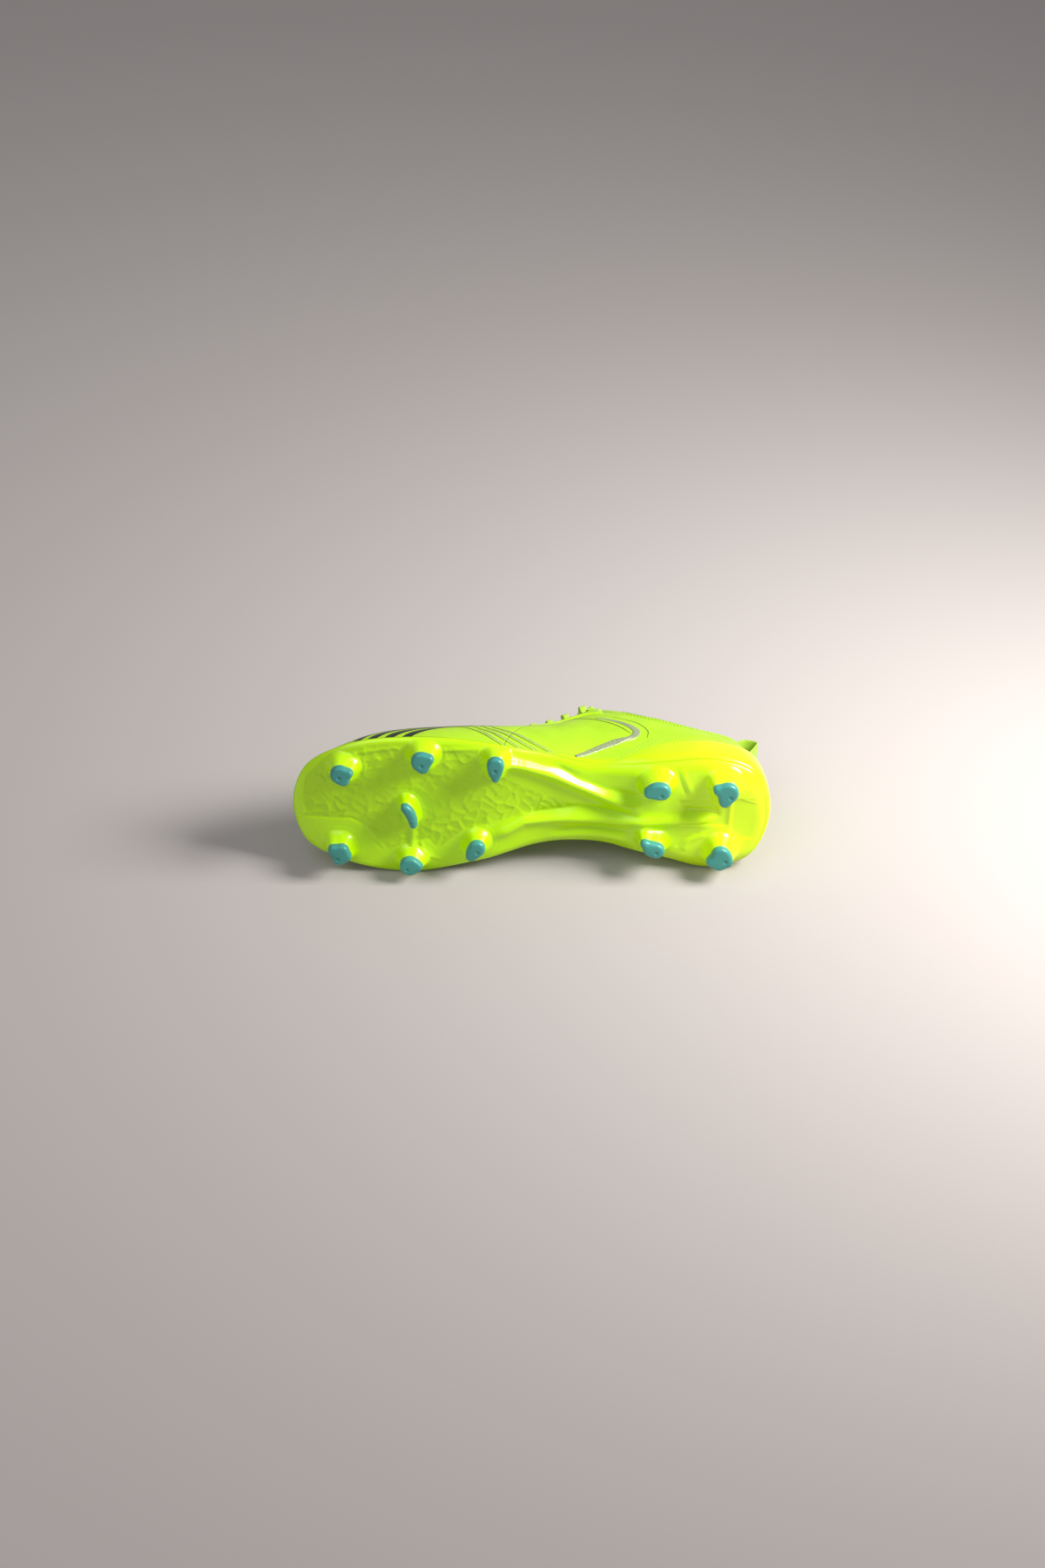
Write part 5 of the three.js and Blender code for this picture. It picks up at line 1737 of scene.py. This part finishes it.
@dataclass(frozen=True)
class Lacing:
    """Flat woven lace, crossed up the throat and tied in a small bow."""

    upper: Upper
    sink: float = 4.7
    proud: float = 3.1
    width: float = 5.4
    thick: float = 1.2

    def crossing(self, side: int, index: int, lift: float) -> list[Array]:
        """From the top of one eyelet over the tongue and up through the other side's next one."""
        start, end = self.upper.eyelet_station(side, index), self.upper.eyelet_station(-side, index + 1)
        rise = self.upper.eyelet_rise
        edge = LAST.point(start, 1.0, -self.proud)
        middle = (edge + LAST.point(end, 1.0, -self.proud)) / 2 + np.array([0, 0, lift])
        return [
            LAST.point(start, rise, -self.proud), edge, middle, LAST.point(end, 1.0, self.sink),
            *self.through(end)
        ]

    def through(self, s: float) -> list[Array]:
        """Points from below an eyelet to its middle."""
        return [LAST.point(s, self.upper.eyelet_rise, depth) for depth in (self.sink, 2.3, 0.65)]

    def run(self, side: int, lift: float) -> list[Array]:
        """One end of the lace from the bottom eyelet to the top one."""
        last = self.upper.eyelets - 1
        points: list[Array] = []
        for i in range(last):
            points += self.crossing(side if i % 2 == 0 else -side, i, lift)
        s = self.upper.eyelet_station(side if last % 2 == 0 else -side, last)
        return points + [LAST.point(s, self.upper.eyelet_rise, -self.proud), LAST.point(s, 1.0, -self.proud)]

    def knot_place(self) -> Array:
        """Middle of the knot."""
        last = self.upper.eyelets - 1
        ends = [LAST.point(self.upper.eyelet_station(side, last), 1.0, -self.proud) for side in (1, -1)]
        return (ends[0] + ends[1]) / 2 + np.array([0, 0, 3.0])

    def strand(self, name: str, points: list[Array], narrow: bool = True) -> bpy.types.Object:
        """One ribbon through points, narrowed where it passes an eyelet."""
        path = even_path(smooth_path(points, 12), 0.8)
        uphill = unit(np.array([0.0, 1.0, 0.62]))
        across = np.tile(uphill, (len(path), 1))
        half = np.full(len(path), self.width / 2)
        if narrow:
            for side in (1, -1):
                for i in range(self.upper.eyelets):
                    hole = LAST.face(
                        np.array(self.upper.eyelet_station(side, i)), np.array(self.upper.eyelet_rise)
                    )
                    d = np.linalg.norm(path - hole, axis=1)
                    half = np.minimum(half, mix(1.75, self.width / 2, smooth(1.5, 6.5, d)))
        return ribbon(name, path, across, half, self.thick, WEAR[Finishes.LACE])

    def bow(self) -> list[bpy.types.Object]:
        """Knot and two small loops that lie across the throat."""
        c = self.knot_place()
        parts = []
        for number, side in enumerate((1, -1)):
            loop = [
                c + np.array(p)
                for p in (
                    (0, 0, 0.6), (side * 7, 1.5, 2.8), (side * 16, 3.5, 1.2),
            (side * 22.5, 5.2, -4.2), (side * 23, 2.2, -6.2),
                    (side * 17, -1.2, -1.6), (side * 8, -1.4, 1.4), (0, 0, -0.6),
                )
            ]
            parts.append(self.strand(f"bow_{number}", loop, narrow=False))
        wrap = [c + np.array((3.0 * math.sin(a) * 0.35, 3.7 * math.cos(a), 3.2 * math.sin(a))) for a in np.linspace(0, 2 * math.pi, 12)]
        path = even_path(smooth_path(wrap, 6), 0.7)
        parts.append(
            ribbon(
                "knot_wrap", path, np.tile([1.0, 0, 0], (len(path), 1)), 2.6, 1.6, WEAR[Finishes.LACE]
            )
        )
        return parts

    def build(self) -> None:
        """Makes the lace."""
        knot = self.knot_place()
        first = [
            [
                LAST.point(self.upper.eyelet_station(side, 0), 0.99, self.sink),
                *self.through(self.upper.eyelet_station(side, 0))
            ]
            for side in (-1, 1)
        ]
        outer = self.run(1, 2.4)
        inner = self.run(-1, -1.2)
        points = [knot, *inner[::-1], *first[0][::-1], *first[1], *outer, knot]
        lace = join("lace_woven", [self.strand("lace_run", points), *self.bow()])
        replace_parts(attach(lace, BOOT), "lace")


@dataclass(frozen=True)
class HeelLoop:
    """Webbing loop from the heel panel over the collar and down inside it."""

    width: float = 13
    thick: float = 1.5
    rise: float = 14

    def build(self) -> None:
        """Makes the loop."""
        inside = float(LAST.lining_depth(np.array(10.0), np.array(0.9))) + 2.3
        lift = lambda z: np.array([0, 0, z])  # noqa: E731
        points = [
            LAST.point(10, 0.74, -1.35), LAST.point(10, 0.80, -1.3), LAST.point(10, 0.90, -2.6),
            LAST.point(10, 1, -9) + lift(-1), LAST.point(10, 1, -11) + lift(4.5),
            LAST.point(10, 1, -4) + lift(self.rise * 0.7),
            LAST.point(10, 1, 3) + lift(9), LAST.point(10, 1, inside + 1) + lift(5),
            LAST.point(10, 0.96, inside + 1),
            LAST.point(10, 0.84, inside + 0.5),
        ]
        path = even_path(smooth_path(points, 14), 0.8)
        across = np.tile([1.0, 0.0, 0.0], (len(path), 1))
        obj = ribbon(
            "heel_loop_webbing", path, across, self.width / 2, self.thick, WEAR[Finishes.WEBBING],
            22
        )
        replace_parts(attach(obj, BOOT), "pull_tab")


# ---------------------------------------------------------------- studio


@dataclass(frozen=True)
class Studio:
    """Camera, light and the pale floor the boot lies on."""

    tilt_deg: float = 30
    roll_deg: float = 2
    distance: float = 1250
    aside: tuple[float, float] = (-5.2, 19.8)
    lens: float = 48.5
    lean: tuple[float, float, float] = (1, 0, -0.1)
    floor_gap: float = 0.6

    def axes(self) -> tuple[Vector, Vector, Vector]:
        """Right, up and back of the camera."""
        tilt, roll = math.radians(self.tilt_deg), math.radians(self.roll_deg)
        back = Vector((math.sin(tilt), 0, -math.cos(tilt)))
        level = Vector((0, 1, 0))
        right = level * math.cos(roll) + back.cross(level) * math.sin(roll)
        return right, back.cross(right), back

    def resting_plane(self) -> tuple[Vector, float]:
        """Plane the boot lies on: the face of its hull that best meets the lean, and its offset in mm."""
        shell = bmesh.new()
        for node in frame["nodes"].values():
            shell.from_mesh(node.data)
        hull = bmesh.ops.convex_hull(shell, input=shell.verts)["geom"]
        faces = [f for f in hull if isinstance(f, bmesh.types.BMFace)]
        for face in faces:
            face.normal_update()
        lean = Vector(self.lean).normalized()
        inner = [face for face in faces if face.calc_center_median().x < 0]
        best = max(inner, key=lambda face: abs(face.normal.dot(lean)))
        normal = best.normal * math.copysign(1, best.normal.dot(lean))
        offset = best.calc_center_median().dot(normal) / MM - self.floor_gap
        shell.free()
        return normal, offset

    def camera(self) -> None:
        """Sets the camera."""
        right, above, back = self.axes()
        data = bpy.data.cameras.new("camera")
        data.lens = self.lens
        data.sensor_width = 36
        data.sensor_fit = "AUTO"
        data.clip_end = 20
        camera = bpy.data.objects.new("camera", data)
        bpy.context.scene.collection.objects.link(camera)
        place = back * self.distance + right * self.aside[0] + above * self.aside[1]
        place = (place + Vector(SHIFT)) * MM
        matrix = Matrix((right, above, back)).transposed().to_4x4()
        matrix.translation = place
        camera.matrix_world = matrix
        bpy.context.scene.camera = camera

    def light(
        self, name: str, way: tuple[float, float, float], distance: float, size: float, power: float,
        colour: str
    ) -> None:
        """Soft square light, placed by how far right, up and back it lies from the boot."""
        right, above, back = self.axes()
        at = (right * way[0] + above * way[1] + back * way[2]).normalized() * distance
        data = bpy.data.lights.new(name, "AREA")
        data.shape = "SQUARE"
        data.size = size
        data.energy = power
        data.color = linear(colour)[:3]
        obj = bpy.data.objects.new(name, data)
        bpy.context.scene.collection.objects.link(obj)
        obj.matrix_world = at.to_track_quat("Z", "Y").to_matrix().to_4x4()
        obj.matrix_world.translation = at

    def floor(self) -> None:
        """Pale seamless floor; only its upper face is there, so that the boot can be seen from below."""
        material = bpy.data.materials.new("backdrop_matt_paint")
        material.use_nodes = True
        tree = material.node_tree
        tree.nodes.clear()
        face = add_node(tree, "ShaderNodeNewGeometry")
        paint = add_node(
            tree, "ShaderNodeBsdfDiffuse", links={"Color": linear("#C2BBB8"), "Roughness": 0.9}
        )
        clear = add_node(tree, "ShaderNodeBsdfTransparent")
        pick = add_node(
            tree, "ShaderNodeMixShader",
            links={0: face.outputs["Backfacing"], 1: paint.outputs["BSDF"], 2: clear.outputs["BSDF"]},
        )
        add_node(tree, "ShaderNodeOutputMaterial", links={"Surface": pick.outputs["Shader"]})
        mesh = bpy.data.meshes.new("floor")
        h = 6.0
        mesh.from_pydata([(-h, -h, 0), (h, -h, 0), (h, h, 0), (-h, h, 0)], [], [(0, 1, 2, 3)])
        mesh.materials.append(material)
        obj = bpy.data.objects.new("floor", mesh)
        bpy.context.scene.collection.objects.link(obj)
        normal, offset = self.resting_plane()
        LOG.info("floor normal %s offset %.2f mm", tuple(round(c, 4) for c in normal), offset)
        matrix = normal.to_track_quat("Z", "Y").to_matrix().to_4x4()
        matrix.translation = normal * (offset * MM)
        obj.matrix_world = matrix

    def build(self) -> None:
        """Sets the studio up."""
        self.camera()
        self.light("key", (0.85, 0.5, 0.55), 0.68, 0.26, 7.2, "#FFFEFB")
        self.light("fill", (-0.5, 0.5, 0.9), 1.4, 1.0, 4.0, "#F4F6FF")
        world = bpy.data.worlds.new("studio")
        world.use_nodes = True
        tree = world.node_tree
        tree.nodes.clear()
        back = add_node(tree, "ShaderNodeBackground", links={"Color": linear("#F0F0F2"), "Strength": 0.34})
        add_node(tree, "ShaderNodeOutputWorld", links={"Surface": back.outputs["Background"]})
        bpy.context.scene.world = world
        bpy.context.scene.view_settings.view_transform = "Standard"
        self.floor()


def main() -> None:
    """Builds the boot and its studio."""
    logging.basicConfig(level=logging.INFO, format="%(message)s")
    upper = Upper()
    for part in (Outsole(), upper, Inside(), Tongue(), Lacing(upper), HeelLoop(), Studio()):
        LOG.info("building %s", type(part).__name__)
        part.build()


if __name__ == "__main__":
    main()
